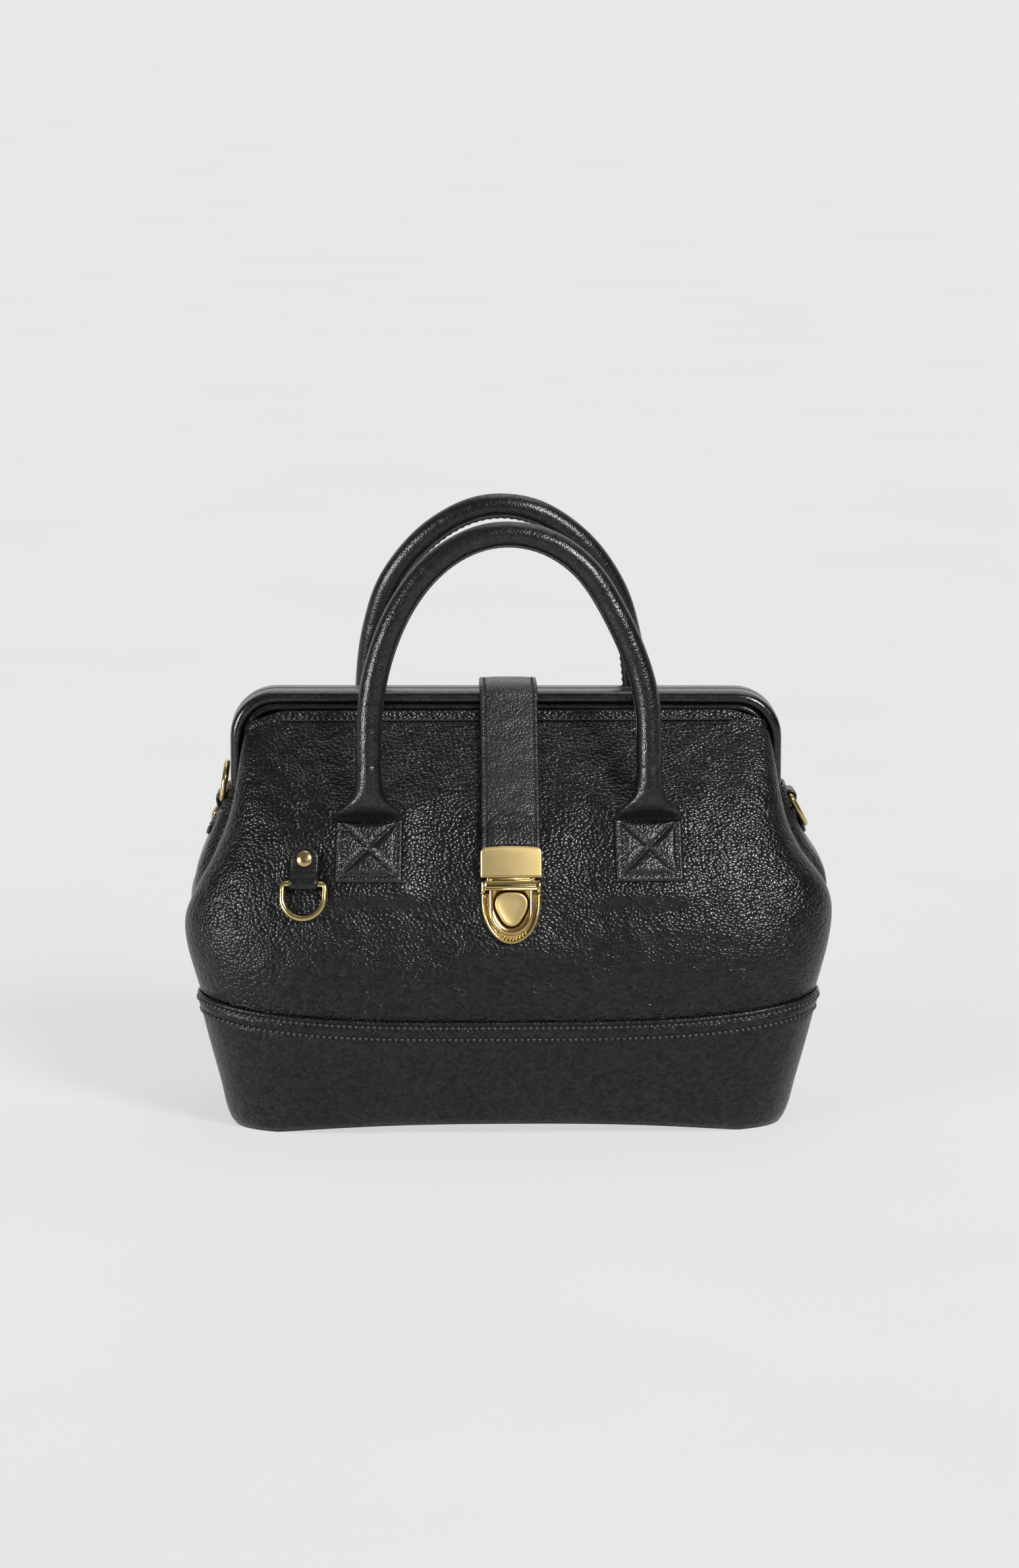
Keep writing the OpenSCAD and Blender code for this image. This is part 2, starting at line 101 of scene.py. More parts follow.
class Nodes:
    """The node tree of a material or world, with short calls for the nodes used here."""

    def __init__(self, owner, coordinates="Object"):
        owner.use_nodes = True
        self.owner, self.tree = owner, owner.node_tree
        self.place = self.add("TexCoord").outputs[coordinates]

    def feed(self, socket, value):
        if isinstance(value, bpy.types.NodeSocket):
            self.tree.links.new(value, socket)
        else:
            socket.default_value = value

    def add(self, kind, inputs=None, **settings):
        made = self.tree.nodes.new("ShaderNode" + kind)
        for name, value in settings.items():
            setattr(made, name, value)
        for name, value in (inputs or {}).items():
            self.feed(made.inputs[name], value)
        return made

    def maths(self, operation, a, b=0.0):
        return self.add("Math", {0: a, 1: b}, operation=operation).outputs[0]

    def remap(self, value, low, high, to_low, to_high):
        return self.add("MapRange", {"Value": value, "From Min": low, "From Max": high,
                                     "To Min": to_low, "To Max": to_high}).outputs[0]

    def noise(self, scale, detail, place=None):
        return self.add("TexNoise", {"Vector": self.place if place is None else place, "Scale": scale,
                                     "Detail": detail}).outputs["Fac"]

    def stretched(self, scale, turn, place=None):
        return self.add("Mapping", {"Vector": self.place if place is None else place, "Scale": scale,
                                    "Rotation": turn}).outputs["Vector"]

    def bump(self, height, distance, strength, normal=None):
        inputs = {"Height": height, "Distance": distance, "Strength": strength}
        if normal is not None:
            inputs["Normal"] = normal
        return self.add("Bump", inputs).outputs["Normal"]

    def mix(self, factor, a, b):
        return self.add("Mix", {0: factor, 6: a, 7: b}, data_type="RGBA").outputs[2]

    def scaled(self, vector, share):
        return self.add("VectorMath", {0: vector, 3: share}, operation="SCALE").outputs[0]

    def shaded(self, inputs):
        """Feed the principled shader and hand back the material."""
        shader = next(n for n in self.tree.nodes if n.type == "BSDF_PRINCIPLED")
        for name, value in inputs.items():
            self.feed(shader.inputs[name], value)
        return self.owner


def leather_material(name, cell, depth, rough, gloss, black, stretch=1.0):
    """Black leather: domed grain cells with creases between them, over fine pores and slow waves; its colour
    has painted shade in the creases and a painted highlight on the dome tops.
    """
    n = Nodes(bpy.data.materials.new(name))
    warp = n.add("TexNoise", {"Vector": n.place, "Scale": 0.16 / cell, "Detail": 1.0}).outputs["Color"]
    moved = n.add("VectorMath", {0: n.place, 1: n.scaled(warp, 2.2 * cell)}, operation="ADD").outputs[0]
    grid = {"Vector": n.stretched((1, 1, stretch), (0, 0.35, 0), moved), "Scale": 1 / cell}
    domes = n.add("TexVoronoi", grid, feature="F1").outputs
    edges = n.add("TexVoronoi", grid, feature="DISTANCE_TO_EDGE").outputs
    dome = n.maths("SUBTRACT", 1.0, n.maths("POWER", domes["Distance"], 2.0))
    crease = n.remap(edges["Distance"], 0.0, 0.22, 0.0, 1.0)
    height = n.maths("ADD", n.maths("MULTIPLY", dome, 0.9), n.maths("MULTIPLY", crease, 0.1))
    height = n.maths("MULTIPLY", height, n.remap(n.noise(0.22 / cell, 3.0), 0.3, 0.7, 0.75, 1.15))
    pores = n.noise(2.6 / cell, 3.0)
    each_cell = n.add("SeparateXYZ", {"Vector": domes["Color"]}).outputs[0]
    normal = n.bump(n.noise(60.0, 3.0), 0.0012, 0.5)
    normal = n.bump(height, depth, 1.0, normal)
    tone = n.remap(n.noise(30.0, 4.0), 0.3, 0.7, 0.8, 1.25)
    # Colour darker down in the creases and lighter on the dome tops: painted shade and highlight on the grain,
    # over the random tone.
    tone_and_crease_shade = n.maths("MULTIPLY", tone, n.remap(height, 0.2, 1.0, 0.55, 1.2))
    return n.shaded({
        "Base Color": n.scaled((black, black * 0.98, black * 1.04), tone_and_crease_shade),
        "Roughness": n.remap(n.maths("ADD", height, pores), 0.4, 1.6, rough + 0.12, rough - 0.08),
        "Specular IOR Level": n.remap(each_cell, 0.0, 1.0, gloss * 0.7, gloss * 1.3),
        "Normal": n.bump(pores, depth * 0.06, 0.6, normal),
    })


def brass_material(name, rough, grain, bright=(0.60, 0.46, 0.21, 1), dark=(0.44, 0.32, 0.13, 1)):
    """Pale brass with a rolled grain, dark specks and a few hairline scratches."""
    n = Nodes(bpy.data.materials.new(name))
    fine, patch = n.noise(2600.0, 3.0), n.noise(55.0, 3.0)
    specks = n.remap(n.noise(1500.0, 2.0), 0.64, 0.72, 0.0, grain * 3)
    lines = n.noise(1.0, 0.0, n.stretched((60, 1500, 1500), (0.4, 0.7, 0.2)))
    scratch = n.remap(lines, 0.74, 0.77, 0.0, grain * 3)
    colour = n.mix(n.remap(patch, 0.35, 0.65, 0.0, 0.6), bright, dark)
    dull = n.remap(patch, 0.3, 0.7, rough - 0.03, rough + 0.05)
    return n.shaded({
        "Base Color": n.mix(specks, colour, (0.30, 0.21, 0.09, 1)),
        "Metallic": 1.0,
        "Roughness": n.maths("ADD", dull, n.maths("MULTIPLY", fine, grain)),
        "Normal": n.bump(scratch, 0.00003, 0.4, n.bump(fine, 0.00002, grain)),
    })


def cloth_material(name, colour, pitch):
    """Plain weave: two crossed sets of threads, with a slight fleck."""
    n = Nodes(bpy.data.materials.new(name))
    axes = n.add("SeparateXYZ", {"Vector": n.stretched((1, 1, 1), (0.3, 0.2, 0.5))}).outputs
    threads = [n.maths("SINE", n.maths("MULTIPLY", axes[k], math.tau / pitch)) for k in (0, 2)]
    weave = n.maths("MULTIPLY", *threads)
    fleck = n.maths("ADD", n.maths("MULTIPLY", weave, 0.3), n.noise(900.0, 3.0))
    return n.shaded({
        "Base Color": n.scaled(colour, n.remap(fleck, 0.0, 1.2, 0.75, 1.2)),
        "Roughness": 0.85,
        "Normal": n.bump(weave, pitch * 0.3, 0.6),
    })


def plain_material(name, colour, rough, metal=0.0):
    """Board, cord or satin steel: a mottled colour with a fine surface."""
    n = Nodes(bpy.data.materials.new(name))
    return n.shaded({
        "Base Color": n.scaled(colour, n.remap(n.noise(300.0, 5.0), 0.3, 0.7, 0.8, 1.15)),
        "Roughness": rough,
        "Metallic": metal,
        "Normal": n.bump(n.noise(2500.0, 3.0), 0.00005, 0.4),
    })


def thread_material():
    """Waxed black thread with a twist."""
    n = Nodes(bpy.data.materials.new("thread"))
    twist = n.noise(2400.0, 2.0, n.stretched((1, 1, 1), (0.6, 0.8, 0)))
    return n.shaded({
        "Base Color": n.scaled((0.004, 0.004, 0.004), n.remap(twist, 0.3, 0.7, 0.6, 1.4)),
        "Roughness": 0.6,
        "Normal": n.bump(twist, 0.0002, 0.6),
    })


def floor_material():
    """Pale floor that mostly shines by itself, so that the shadows on it stay faint."""
    n = Nodes(bpy.data.materials.new("floor"))
    shade = n.scaled((0.15, 0.15, 0.15), n.remap(n.noise(3.0, 3.0), 0.3, 0.7, 0.99, 1.01))
    return n.shaded({
        "Base Color": shade,
        "Emission Color": shade,
        "Emission Strength": 4.1,
        "Roughness": 0.9,
        "Specular IOR Level": 0.0,
    })


def make_stage():
    mesh = bpy.data.meshes.new("floor")
    half = 70.0
    mesh.from_pydata([(-half, -half, 0), (half, -half, 0), (half, half, 0), (-half, half, 0)], [],
                     [(0, 1, 2, 3)])
    floor = bpy.data.objects.new("floor", mesh)
    bpy.context.scene.collection.objects.link(floor)
    mesh.materials.append(floor_material())
    world = bpy.data.worlds.new("studio")
    n = Nodes(world, "Generated")
    axes = n.add("SeparateXYZ", {"Vector": n.place}).outputs
    back = n.tree.nodes["Background"].inputs
    n.feed(back["Strength"], n.maths("ADD", n.remap(axes["Y"], 0.2, 0.8, 0.08, 0.85),
                                     n.remap(axes["Z"], 0.3, 1.0, 0.0, 0.2)))
    back["Color"].default_value = (0.95, 0.96, 1.0, 1)
    bpy.context.scene.world = world
    bpy.context.scene.view_settings.view_transform = "Standard"
    far_softbox("left_softbox", (-1.0, -0.75, 0.22), 22, 2.6)
    far_softbox("right_softbox", (0.7, -1.0, 0.8), 16, 3.4)
    far_softbox("overhead_softbox", (0.15, 0.35, 1.0), 40, 0.6)
    far_softbox("front_card", (0.12, -1.0, 0.4), 26, 0.085)


# ---------------------------------------------------------------- mesh helpers


SLOTS = {        # the slot of a piece made of each material, which piece() looks up but does not use; sewn rows pass their own
    "leather_pebbled": "leather", "leather_band": "band_leather", "leather_smooth": "smooth_leather",
    "leather_frame": "smooth_leather", "leather_tab": "smooth_leather", "leather_strap": "smooth_leather",
    "brass_polished": "brass", "brass_face": "brass", "brass_painted_gap_shade": "brass", "satin_steel": "steel",
    "lining_cloth": "lining_cloth", "fibreboard": "fibreboard", "cord_core": "cord_core",
}


def piece(name, points, faces, material, body=None, nodes=(), slot=None):
    """A new object from points in millimetres; it rides on a body when one is given."""
    mesh = bpy.data.meshes.new(name)
    mesh.from_pydata((np.asarray(points, float).reshape(-1, 3) * MM).tolist(), [], faces)
    shape = bmesh.new()
    shape.from_mesh(mesh)
    bmesh.ops.recalc_face_normals(shape, faces=shape.faces)
    shape.to_mesh(mesh)
    shape.free()
    mesh.polygons.foreach_set("use_smooth", [True] * len(mesh.polygons))
    mesh.materials.append(material)
    obj = bpy.data.objects.new(name, mesh)
    bpy.context.scene.collection.objects.link(obj)
    if body:
        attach(obj, body)
    if nodes:
        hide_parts(*nodes)
    slot = slot or SLOTS.get(material.name.split(".")[0])        # a CAD material may hold the plain name
    return obj


def loft_faces(count, size, ring, caps, start=0):
    """Faces between count loops of size points each. caps is ladder, face or nothing."""
    at = lambda i, k: start + (i % count) * size + k % size
    faces = [(at(i, k), at(i + 1, k), at(i + 1, k + 1), at(i, k + 1))
             for i in range(count if ring else count - 1) for k in range(size)]
    if caps == "ladder" and not ring:
        for i in (0, count - 1):
            faces += [(at(i, k), at(i, k + 1), at(i, size - 2 - k), at(i, size - 1 - k))
                      for k in range(size // 2 - 1)]
    if caps == "face" and not ring:
        faces += [tuple(at(i, k) for k in range(size)) for i in (0, count - 1)]
    return faces


def loft(name, loops, material, ring=False, caps="ladder", **rest):
    loops = np.asarray(loops, float)
    count, size = loops.shape[:2]
    return piece(name, loops, loft_faces(count, size, ring, caps), material, **rest)


def solid(name, loops, material, **rest):
    """A loft whose two ends are closed by flat faces."""
    return loft(name, loops, material, caps="face", **rest)


def many_lofts(name, groups, material, ring=False, caps="ladder", **rest):
    """Several lofts in one mesh, such as the stitches of a row."""
    points, faces, start = [], [], 0
    for loops in groups:
        loops = np.asarray(loops, float)
        faces += loft_faces(loops.shape[0], loops.shape[1], ring, caps, start)
        points.append(loops.reshape(-1, 3))
        start += loops.shape[0] * loops.shape[1]
    return piece(name, np.concatenate(points), faces, material, **rest)


def unit(v):
    v = np.asarray(v, float)
    return v / np.maximum(np.linalg.norm(v, axis=-1, keepdims=True), 1e-9)


def smoothstep(low, high, value):
    t = np.clip((np.asarray(value, float) - low) / (high - low), 0, 1)
    return t * t * (3 - 2 * t)


def run_along(line):
    """Length along a line at each of its points."""
    return np.concatenate([[0], np.cumsum(np.linalg.norm(np.diff(line, axis=0), axis=1))])


def bell(value, middle, width):
    return np.exp(-((value - middle) / width) ** 2)


def rounded(distance, radius, least):
    """How far a quarter-round edge has risen at a distance from it, as a share of its radius."""
    return np.sqrt(np.clip(1 - (1 - np.minimum(distance / radius, 1)) ** 2, least, 1))


def full_turn(count):
    return np.linspace(0, math.tau, count, endpoint=False)


def spline(points, step):
    """Points about step apart on a Catmull-Rom curve through the given points."""
    p = np.asarray(points, float)
    p = np.vstack([2 * p[0] - p[1], p, 2 * p[-1] - p[-2]])
    fine = []
    for a, b, c, d in zip(p, p[1:], p[2:], p[3:]):
        t = np.linspace(0, 1, 24, endpoint=False)[:, None]
        fine.append(0.5 * (2 * b + (c - a) * t + (2 * a - 5 * b + 4 * c - d) * t**2
                           + (3 * b - a - 3 * c + d) * t**3))
    return resample(np.vstack(fine + [p[-2:-1]]), step)


def resample(line, step, closed=False):
    line = np.asarray(line, float)
    if closed:
        line = np.vstack([line, line[:1]])
    run = run_along(line)
    count = max(2, int(round(run[-1] / step)) + 1)
    places = np.linspace(0, run[-1], count)
    if closed:
        places = places[:-1]
    return np.stack([np.interp(places, run, line[:, k]) for k in range(line.shape[1])], axis=1)


def tangents(line, closed=False):
    if closed:
        return unit(np.roll(line, -1, 0) - np.roll(line, 1, 0))
    return unit(np.gradient(line, axis=0))


def right_of(along):
    """Flat directions turned a quarter clockwise."""
    return along[:, ::-1] * [1, -1]


def tube(line, radius, side, sides=14, closed=False):
    """Loops of a round tube. side is a direction that is never along the line; radius may vary."""
    along = tangents(line, closed)
    across = unit(np.cross(along, np.broadcast_to(side, line.shape)))
    other = np.cross(along, across)
    turn = full_turn(sides)
    radius = np.broadcast_to(radius, len(line))[:, None, None]
    return line[:, None] + radius * (np.cos(turn)[None, :, None] * across[:, None]
                                     + np.sin(turn)[None, :, None] * other[:, None])


STITCH_PITCH = 2.9
THREAD_R = 0.5
PUCKER = {"long": 1.9, "radius": 1.1, "sink": 0.85, "phase": 1.0}


def stitch_row(places, normals, pitch=STITCH_PITCH, long=2.15, radius=THREAD_R, sink=0.12, phase=0.5):
    """Loops for every stitch along a line that lies on a surface."""
    places, normals = np.asarray(places, float), np.asarray(normals, float)
    run = run_along(places)
    count = max(1, int(round(run[-1] / pitch)))
    middles = (np.arange(count) + phase) * run[-1] / count
    get = lambda data, s: np.array([np.interp(s, run, data[:, k]) for k in range(3)])
    groups = []
    for s in middles:
        up = unit(get(normals, s))
        a, b = get(places, max(s - long / 2, 0)), get(places, min(s + long / 2, run[-1]))
        along = unit(b - a)
        middle, across = (a + b) / 2, np.cross(along, up)
        loops = []
        for t, r, lift in ((-0.5, 0.45, -0.42), (-0.36, 0.9, 0.0), (0.0, 1.0, 0.16),
                           (0.36, 0.9, 0.0), (0.5, 0.45, -0.42)):
            centre = middle + along * t * long + up * (lift * radius * 1.6 - sink + radius * 0.5)
            loops.append([centre + r * radius * (math.cos(q) * across + math.sin(q) * up)
                          for q in full_turn(6)])
        groups.append(loops)
    return groups


# ---------------------------------------------------------------- the leather's own surface

GUSSET = [(-20, 124), (0, 131.4), (10, 135.3), (50, 145.6), (62, 148.6), (75, 152), (90, 155),
          (100, 156), (112, 154.6), (120, 152.4), (127, 150.2), (133, 147.8), (140, 145.2),
          (146.5, 143), (153, 141), (160, 138.6), (166, 136.8), (185, 130), (205, 123)]
CREASE = [(-20, 124), (0, 131.4), (10, 135.3), (50, 145.6), (62, 148.6), (75, 152), (90, 155.2),
          (100, 156.2), (110, 154.6), (121, 148.6), (135, 140.6), (150, 134.6), (162, 131.0),
          (175, 128.6), (183, 127.4), (190, 126), (197, 124), (205, 121)]
DEPTH = [(-20, 50), (0, 57), (20, 64), (55, 71.5), (85, 76), (105, 74.6), (125, 70), (135, 66),
         (150, 58), (165, 48), (185, 30), (195, 20.5), (200, 17.0), (205, 15.4)]
POWER = [(-20, 4.5), (110, 4.5), (150, 5.5), (180, 8), (205, 9)]
VALLEY = [(-20, 0), (106, 0), (118, 3.5), (130, 6.5), (150, 6.0), (160, 6.8), (205, 6.8)]
BAND_TOP = 68.6
BAND_RISE = 9.2
SHELL_LOW = 50
SHELL_T = 2.0
HEM_TOP = 202.3
GUSSET_TOP = 163.5


def profile(points, spread=3.0):
    """A smoothed curve through the given heights."""
    z = np.arange(-20, 205.5, 0.5)
    kernel = np.exp(-0.5 * (np.arange(-30, 31) * 0.5 / spread) ** 2)
    values = np.interp(z, *zip(*points))
    low = values[0] + (values[0] - values[1]) * np.arange(30, 0, -1)
    high = values[-1] + (values[-1] - values[-2]) * np.arange(1, 31)
    smooth = np.convolve(np.concatenate([low, values, high]), kernel / kernel.sum(), mode="valid")
    return lambda q: np.interp(q, z, smooth)


gusset, crease, depth, power, valley = map(profile, (GUSSET, CREASE, DEPTH, POWER, VALLEY))

TAB_X, TAB_Z, TAB_TILT, TAB_W = 67.4, 140.5, 27, 32.8
LOCK_X, LOCK_Y, LOCK_Z, LOCK_TILT = 0.8, -73.8, 111, 14
RING_X, RING_Z, RING_TILT, RING_TURN, RING_OFF = -98.5, 126, 20, -7, 0.6
REAR_SHIFT = -1.5


def cad_skin_y(x, z):
    """Depth of the plain CAD skin, which the sewn parts are placed on."""
    widths = [(0, 130.5), (10, 135.5), (50, 148), (62, 151.2), (75, 154.5), (100, 158.5), (112, 156),
              (126, 151), (140, 144.5), (150, 139.5), (165, 130), (185, 124), (200, 120)]
    deep = [(0, 57), (20, 64), (55, 71.5), (85, 76), (105, 74.6), (125, 70), (135, 66), (150, 58),
            (165, 48), (185, 30), (200, 14)]
    w, d = np.interp(z, *zip(*widths)), np.interp(z, *zip(*deep))
    return -d * (1 - (abs(x) / w) ** 4.5) ** (1 / 4.5)


class Place:
    """A flat place on the bag's front: local right, up and out, in the row frame."""

    def __init__(self, x, y, z, tilt, turn=0.0, mirror=1):
        tilt, turn = math.radians(tilt), math.radians(turn)
        self.origin = np.array([x, y, z], float)
        self.right = np.array([math.cos(turn), math.sin(turn), 0])
        self.up = np.array([-math.sin(turn) * math.sin(tilt), math.cos(turn) * math.sin(tilt), math.cos(tilt)])
        self.out = np.array([math.sin(turn) * math.cos(tilt), -math.cos(turn) * math.cos(tilt), math.sin(tilt)])
        if mirror < 0:
            for v in (self.origin, self.right, self.up, self.out):
                v[1] *= -1

    def __call__(self, a, b, c):
        a, b, c = np.broadcast_arrays(np.asarray(a, float), b, c)
        return self.origin + a[..., None] * self.right + b[..., None] * self.up + c[..., None] * self.out


def on_front(x, z, tilt, turn, off, mirror=1):
    return Place(x, cad_skin_y(x, z) - off, z, tilt, turn, mirror)


LOCK = Place(LOCK_X, LOCK_Y, LOCK_Z, LOCK_TILT)
# flat places that the leather is drawn up to: x, z, tilt, turn, off, half width, half height
FLATS = [(-TAB_X, TAB_Z, TAB_TILT, -2.5, 0.9, 16, 17), (TAB_X, TAB_Z, TAB_TILT, 2.5, 0.9, 16, 17)]
FRONT_FLATS = FLATS + [(RING_X, RING_Z + 6, RING_TILT, RING_TURN, 0.5, 6, 12)]


def relief(x, z, y, side):
    """Leather pushed out to the sewn parts, with the slow sag and waves of a soft wall."""
    y = y.copy()
    flats = FRONT_FLATS if side > 0 else [(a + REAR_SHIFT, *rest) for a, *rest in FLATS]
    for px, pz, tilt, turn, off, half_x, half_z in flats:
        origin_y = cad_skin_y(px, pz) - off
        plane = (origin_y + (z - pz) * math.tan(math.radians(tilt))
                 + (x - px) * math.tan(math.radians(turn)) + 0.15)
        near = (1 - smoothstep(half_x, half_x + 13, abs(x - px)))
        near *= 1 - smoothstep(half_z, half_z + 9, abs(z - pz))
        y += (plane - y) * near
    if side > 0:
        plane = LOCK_Y + (z - LOCK_Z) * math.tan(math.radians(LOCK_TILT)) + 0.15
        near = (1 - smoothstep(14, 32, abs(x - LOCK_X))) * (1 - smoothstep(13, 26, abs(z - LOCK_Z)))
        y += (plane - y) * near
    calm = smoothstep(58, 80, z) * (1 - smoothstep(178, 192, z))
    wave = (0.55 * np.sin(x / 21 + z / 33 + 0.7 * side) * np.sin(z / 17 - x / 60)
            + 0.35 * np.sin(x / 11.5 - z / 14 + side))
    dent = 1.3 * np.exp(-((abs(x) - 106) / 13) ** 2 - ((z - 172) / 15) ** 2)
    return y + calm * wave + dent


def section(z, across_steps):
    """Quarter of the bag's outline at one height, from the gusset's middle to the front's middle."""
    u = np.concatenate([[0], np.geomspace(1e-7, 0.02, 40), np.linspace(0.021, math.pi / 2, 420)])
    p = power(z)
    across, deep = np.cos(u) ** (2 / p), np.sin(u) ** (2 / p)
    across[-1] = 0
    fold = smoothstep(0.16, 0.6, deep)
    w = gusset(z) * (1 - fold) + crease(z) / 0.975 * fold
    x = w * across - valley(z) * bell(deep, 0.40, 0.12)
    x[-1] = 0
    line = np.stack([x, -depth(z) * deep], axis=1)
    run = run_along(line)
    return np.stack([np.interp(across_steps * run[-1], run, line[:, k]) for k in range(2)], axis=1)


FINE_Z = np.arange(-4, 205.01, 1.0)
QUARTER = np.concatenate([np.linspace(0, 0.07, 8)[:-1], np.linspace(0.07, 0.17, 20)[:-1],
                          np.linspace(0.17, 0.4, 24)[:-1], np.linspace(0.4, 1.0, 42)])
ALONG = np.concatenate([QUARTER / 2, 1 - QUARTER[::-1][1:] / 2])   # right gusset 0, left gusset 1


# how far the photographed bag's sides differ from an even shape, right then left
BULGE = ((5.0, 122, 15), (1.4, 129, 20))        # outward at a gusset: most, height, spread
NARROW = (0.8, 1.4)                             # inward at the base
SLIM = (0.8, 78, 28)                            # inward above the band, on both sides


def build_surface(side):
    """Table of the leather's surface, rows up the bag and columns from the right to the left."""
    rows = []
    for z in FINE_Z:
        right = section(z, QUARTER)
        left = right[::-1][1:] * [-1, 1]
        narrow = smoothstep(0, 25, z) * (1 - smoothstep(60, 95, z))
        for half, hand, bulge, pull in ((right, 1, BULGE[0], NARROW[0]), (left, -1, BULGE[1], NARROW[1])):
            moved = bulge[0] * bell(z, *bulge[1:]) - SLIM[0] * bell(z, *SLIM[1:])
            half[:, 0] += hand * moved * smoothstep(100, 150, hand * half[:, 0])
            half[:, 0] -= hand * pull * narrow * smoothstep(60, 130, hand * half[:, 0])
        xy = np.vstack([right, left])
        front = smoothstep(0.10, 0.35, 1 - abs(2 * ALONG - 1))
        y = xy[:, 1] + (relief(xy[:, 0], np.full(len(xy), z), xy[:, 1], side) - xy[:, 1]) * front
        rows.append(np.stack([xy[:, 0], y * side, np.full(len(xy), z)], axis=1))
    table = np.array(rows)
    du, dv = np.gradient(table, axis=1), np.gradient(table, axis=0)
    normal = unit(np.cross(dv, du)) * (1 if side > 0 else -1)
    normal[:, 0, 1] = normal[:, -1, 1] = 0
    return table, unit(normal)


SURFACES = {side: build_surface(side) for side in (1, -1)}


def on_leather(side, column, z, off=0.0):
    """Point on the leather at whole or part columns and heights, moved out along its normal."""
    table, normals = SURFACES[side]
    row = np.clip(np.asarray(z, float) - FINE_Z[0], 0, len(FINE_Z) - 1.001)
    col = np.clip(np.asarray(column, float), 0, len(ALONG) - 1.001)
    r, c = row.astype(int), col.astype(int)
    fr, fc = (row - r)[..., None], (col - c)[..., None]
    get = lambda data: ((data[r, c] * (1 - fc) + data[r, c + 1] * fc) * (1 - fr)
                        + (data[r + 1, c] * (1 - fc) + data[r + 1, c + 1] * fc) * fr)
    normal = unit(get(normals))
    return get(table) + normal * np.asarray(off, float)[..., None], normal


def column_at(side, x, z):
    """Part column of the front or back face where the leather has this x."""
    table = SURFACES[side][0]
    row = table[int(round(float(z) - FINE_Z[0])), :, 0]
    return np.interp(-x, -row, np.arange(len(row)))


COLUMNS = np.arange(len(ALONG))
SHARE = 1 - abs(2 * ALONG - 1)          # 0 at a gusset's middle, 1 at the front's middle


def band_top(x):
    return BAND_TOP - BAND_RISE * (1 - np.minimum(abs(x) / 151, 1) ** 3.3)


def shell_top(share):
    rise = smoothstep(0.080, 0.135, share)
    corner = 5.5 * (1 - smoothstep(0.12, 0.26, share))
    return GUSSET_TOP + (HEM_TOP - GUSSET_TOP - corner) * rise


def two_sided(outer, inner, rim):
    """Loops up the outer face, over a rounded rim, and down the inner face."""
    up, down = unit(outer[-1] - outer[-2]), unit(outer[0] - outer[1])
    top = (outer[-1] + inner[-1]) / 2 + up * rim
    foot = (outer[0] + inner[0]) / 2 + down * rim * 0.3
    return np.swapaxes(np.concatenate([outer, top[None], inner[::-1], foot[None]]), 0, 1)


EDGE_ROWS = 11        # rows this near the top edge follow it exactly


def wall_rows(span):
    """Row distances below the top: close together by the edge and its stitches, then wider."""
    near = [0, 0.5, 1.2, 2.2, 3.2, 3.8, 4.2, 4.6, 5.2, 6.4, 8.2, 10.5]
    far = np.linspace(13.5, span, int((span - 13.5) / 3.0) + 2)
    return np.concatenate([near, far])


GROOVE = 0.7        # depth and half width of the groove that a stitch row pulls in


def groove_dip(drop, rows):
    return sum(GROOVE * bell(drop, row, GROOVE) for row in rows)


def wall(name, side, material, low, top, off, thick, grooves=(), **rest):
    """A leather or cloth wall for one side of the bag, with its rows between low and top."""
    tall = top - low
    drops = wall_rows(float(np.max(tall)))
    outer, inner = [], []
    for drop in drops:
        z = top - np.where(tall < drops[-1] - 0.01, tall * drop / drops[-1], drop)
        if drop < EDGE_ROWS:
            z = np.maximum(top - drop, low)
        dip = groove_dip(drop, grooves)
        face, normal = on_leather(side, COLUMNS, z, np.full(len(COLUMNS), off - dip))
        outer.append(face)
        inner.append(face - normal * (thick - dip))
    loops = two_sided(np.array(outer)[::-1], np.array(inner)[::-1], thick * 0.32)
    return loft(name, loops, material, **rest)


# ---------------------------------------------------------------- build

make_camera()
make_stage()

GRAIN = leather_material("leather_pebbled", 0.0019, 0.00042, 0.26, gloss=0.34, black=0.003, stretch=1.25)
BAND_LEATHER = leather_material("leather_band", 0.0017, 0.00024, 0.31, gloss=0.34, black=0.003, stretch=1.1)
SMOOTH = leather_material("leather_smooth", 0.0012, 0.00012, 0.27, gloss=0.45, black=0.004)
FRAME = leather_material("leather_frame", 0.0010, 0.00004, 0.22, gloss=0.5, black=0.003)
TAB_GRAIN = leather_material("leather_tab", 0.0015, 0.0003, 0.32, gloss=0.5, black=0.004)
STRAP_LEATHER = leather_material("leather_strap", 0.0013, 0.0003, 0.36, gloss=0.6, black=0.005)
# Leather for the puckers beside the stitches: the puckers are real bumps, but this leather is several times
# lighter than the rest, a painted highlight on each bead.
PUCKER_PAINTED_HIGHLIGHT = leather_material("leather_puckers", 0.0006, 0.00005, 0.30, gloss=0.5, black=0.020)
BRASS = brass_material("brass_polished", 0.16, 0.03)
BRASS_FACE = brass_material("brass_face", 0.30, 0.14)
# Nearly black brass for a thin plate under the gap round the button: painted shade in that gap.
PAINTED_GAP_SHADE = brass_material("brass_painted_gap_shade", 0.45, 0.15, (0.20, 0.14, 0.06, 1), (0.07, 0.05, 0.02, 1))
THREAD = thread_material()
LINING = cloth_material("lining_cloth", (0.115, 0.098, 0.080), 0.0007)
BOARD = plain_material("fibreboard", (0.34, 0.26, 0.17), 0.8)
STEEL = plain_material("satin_steel", (0.55, 0.55, 0.57), 0.32, 1.0)
CORD = plain_material("cord_core", (0.62, 0.55, 0.42), 0.9)

BACK_COLUMNS = COLUMNS[::-1][1:-1]


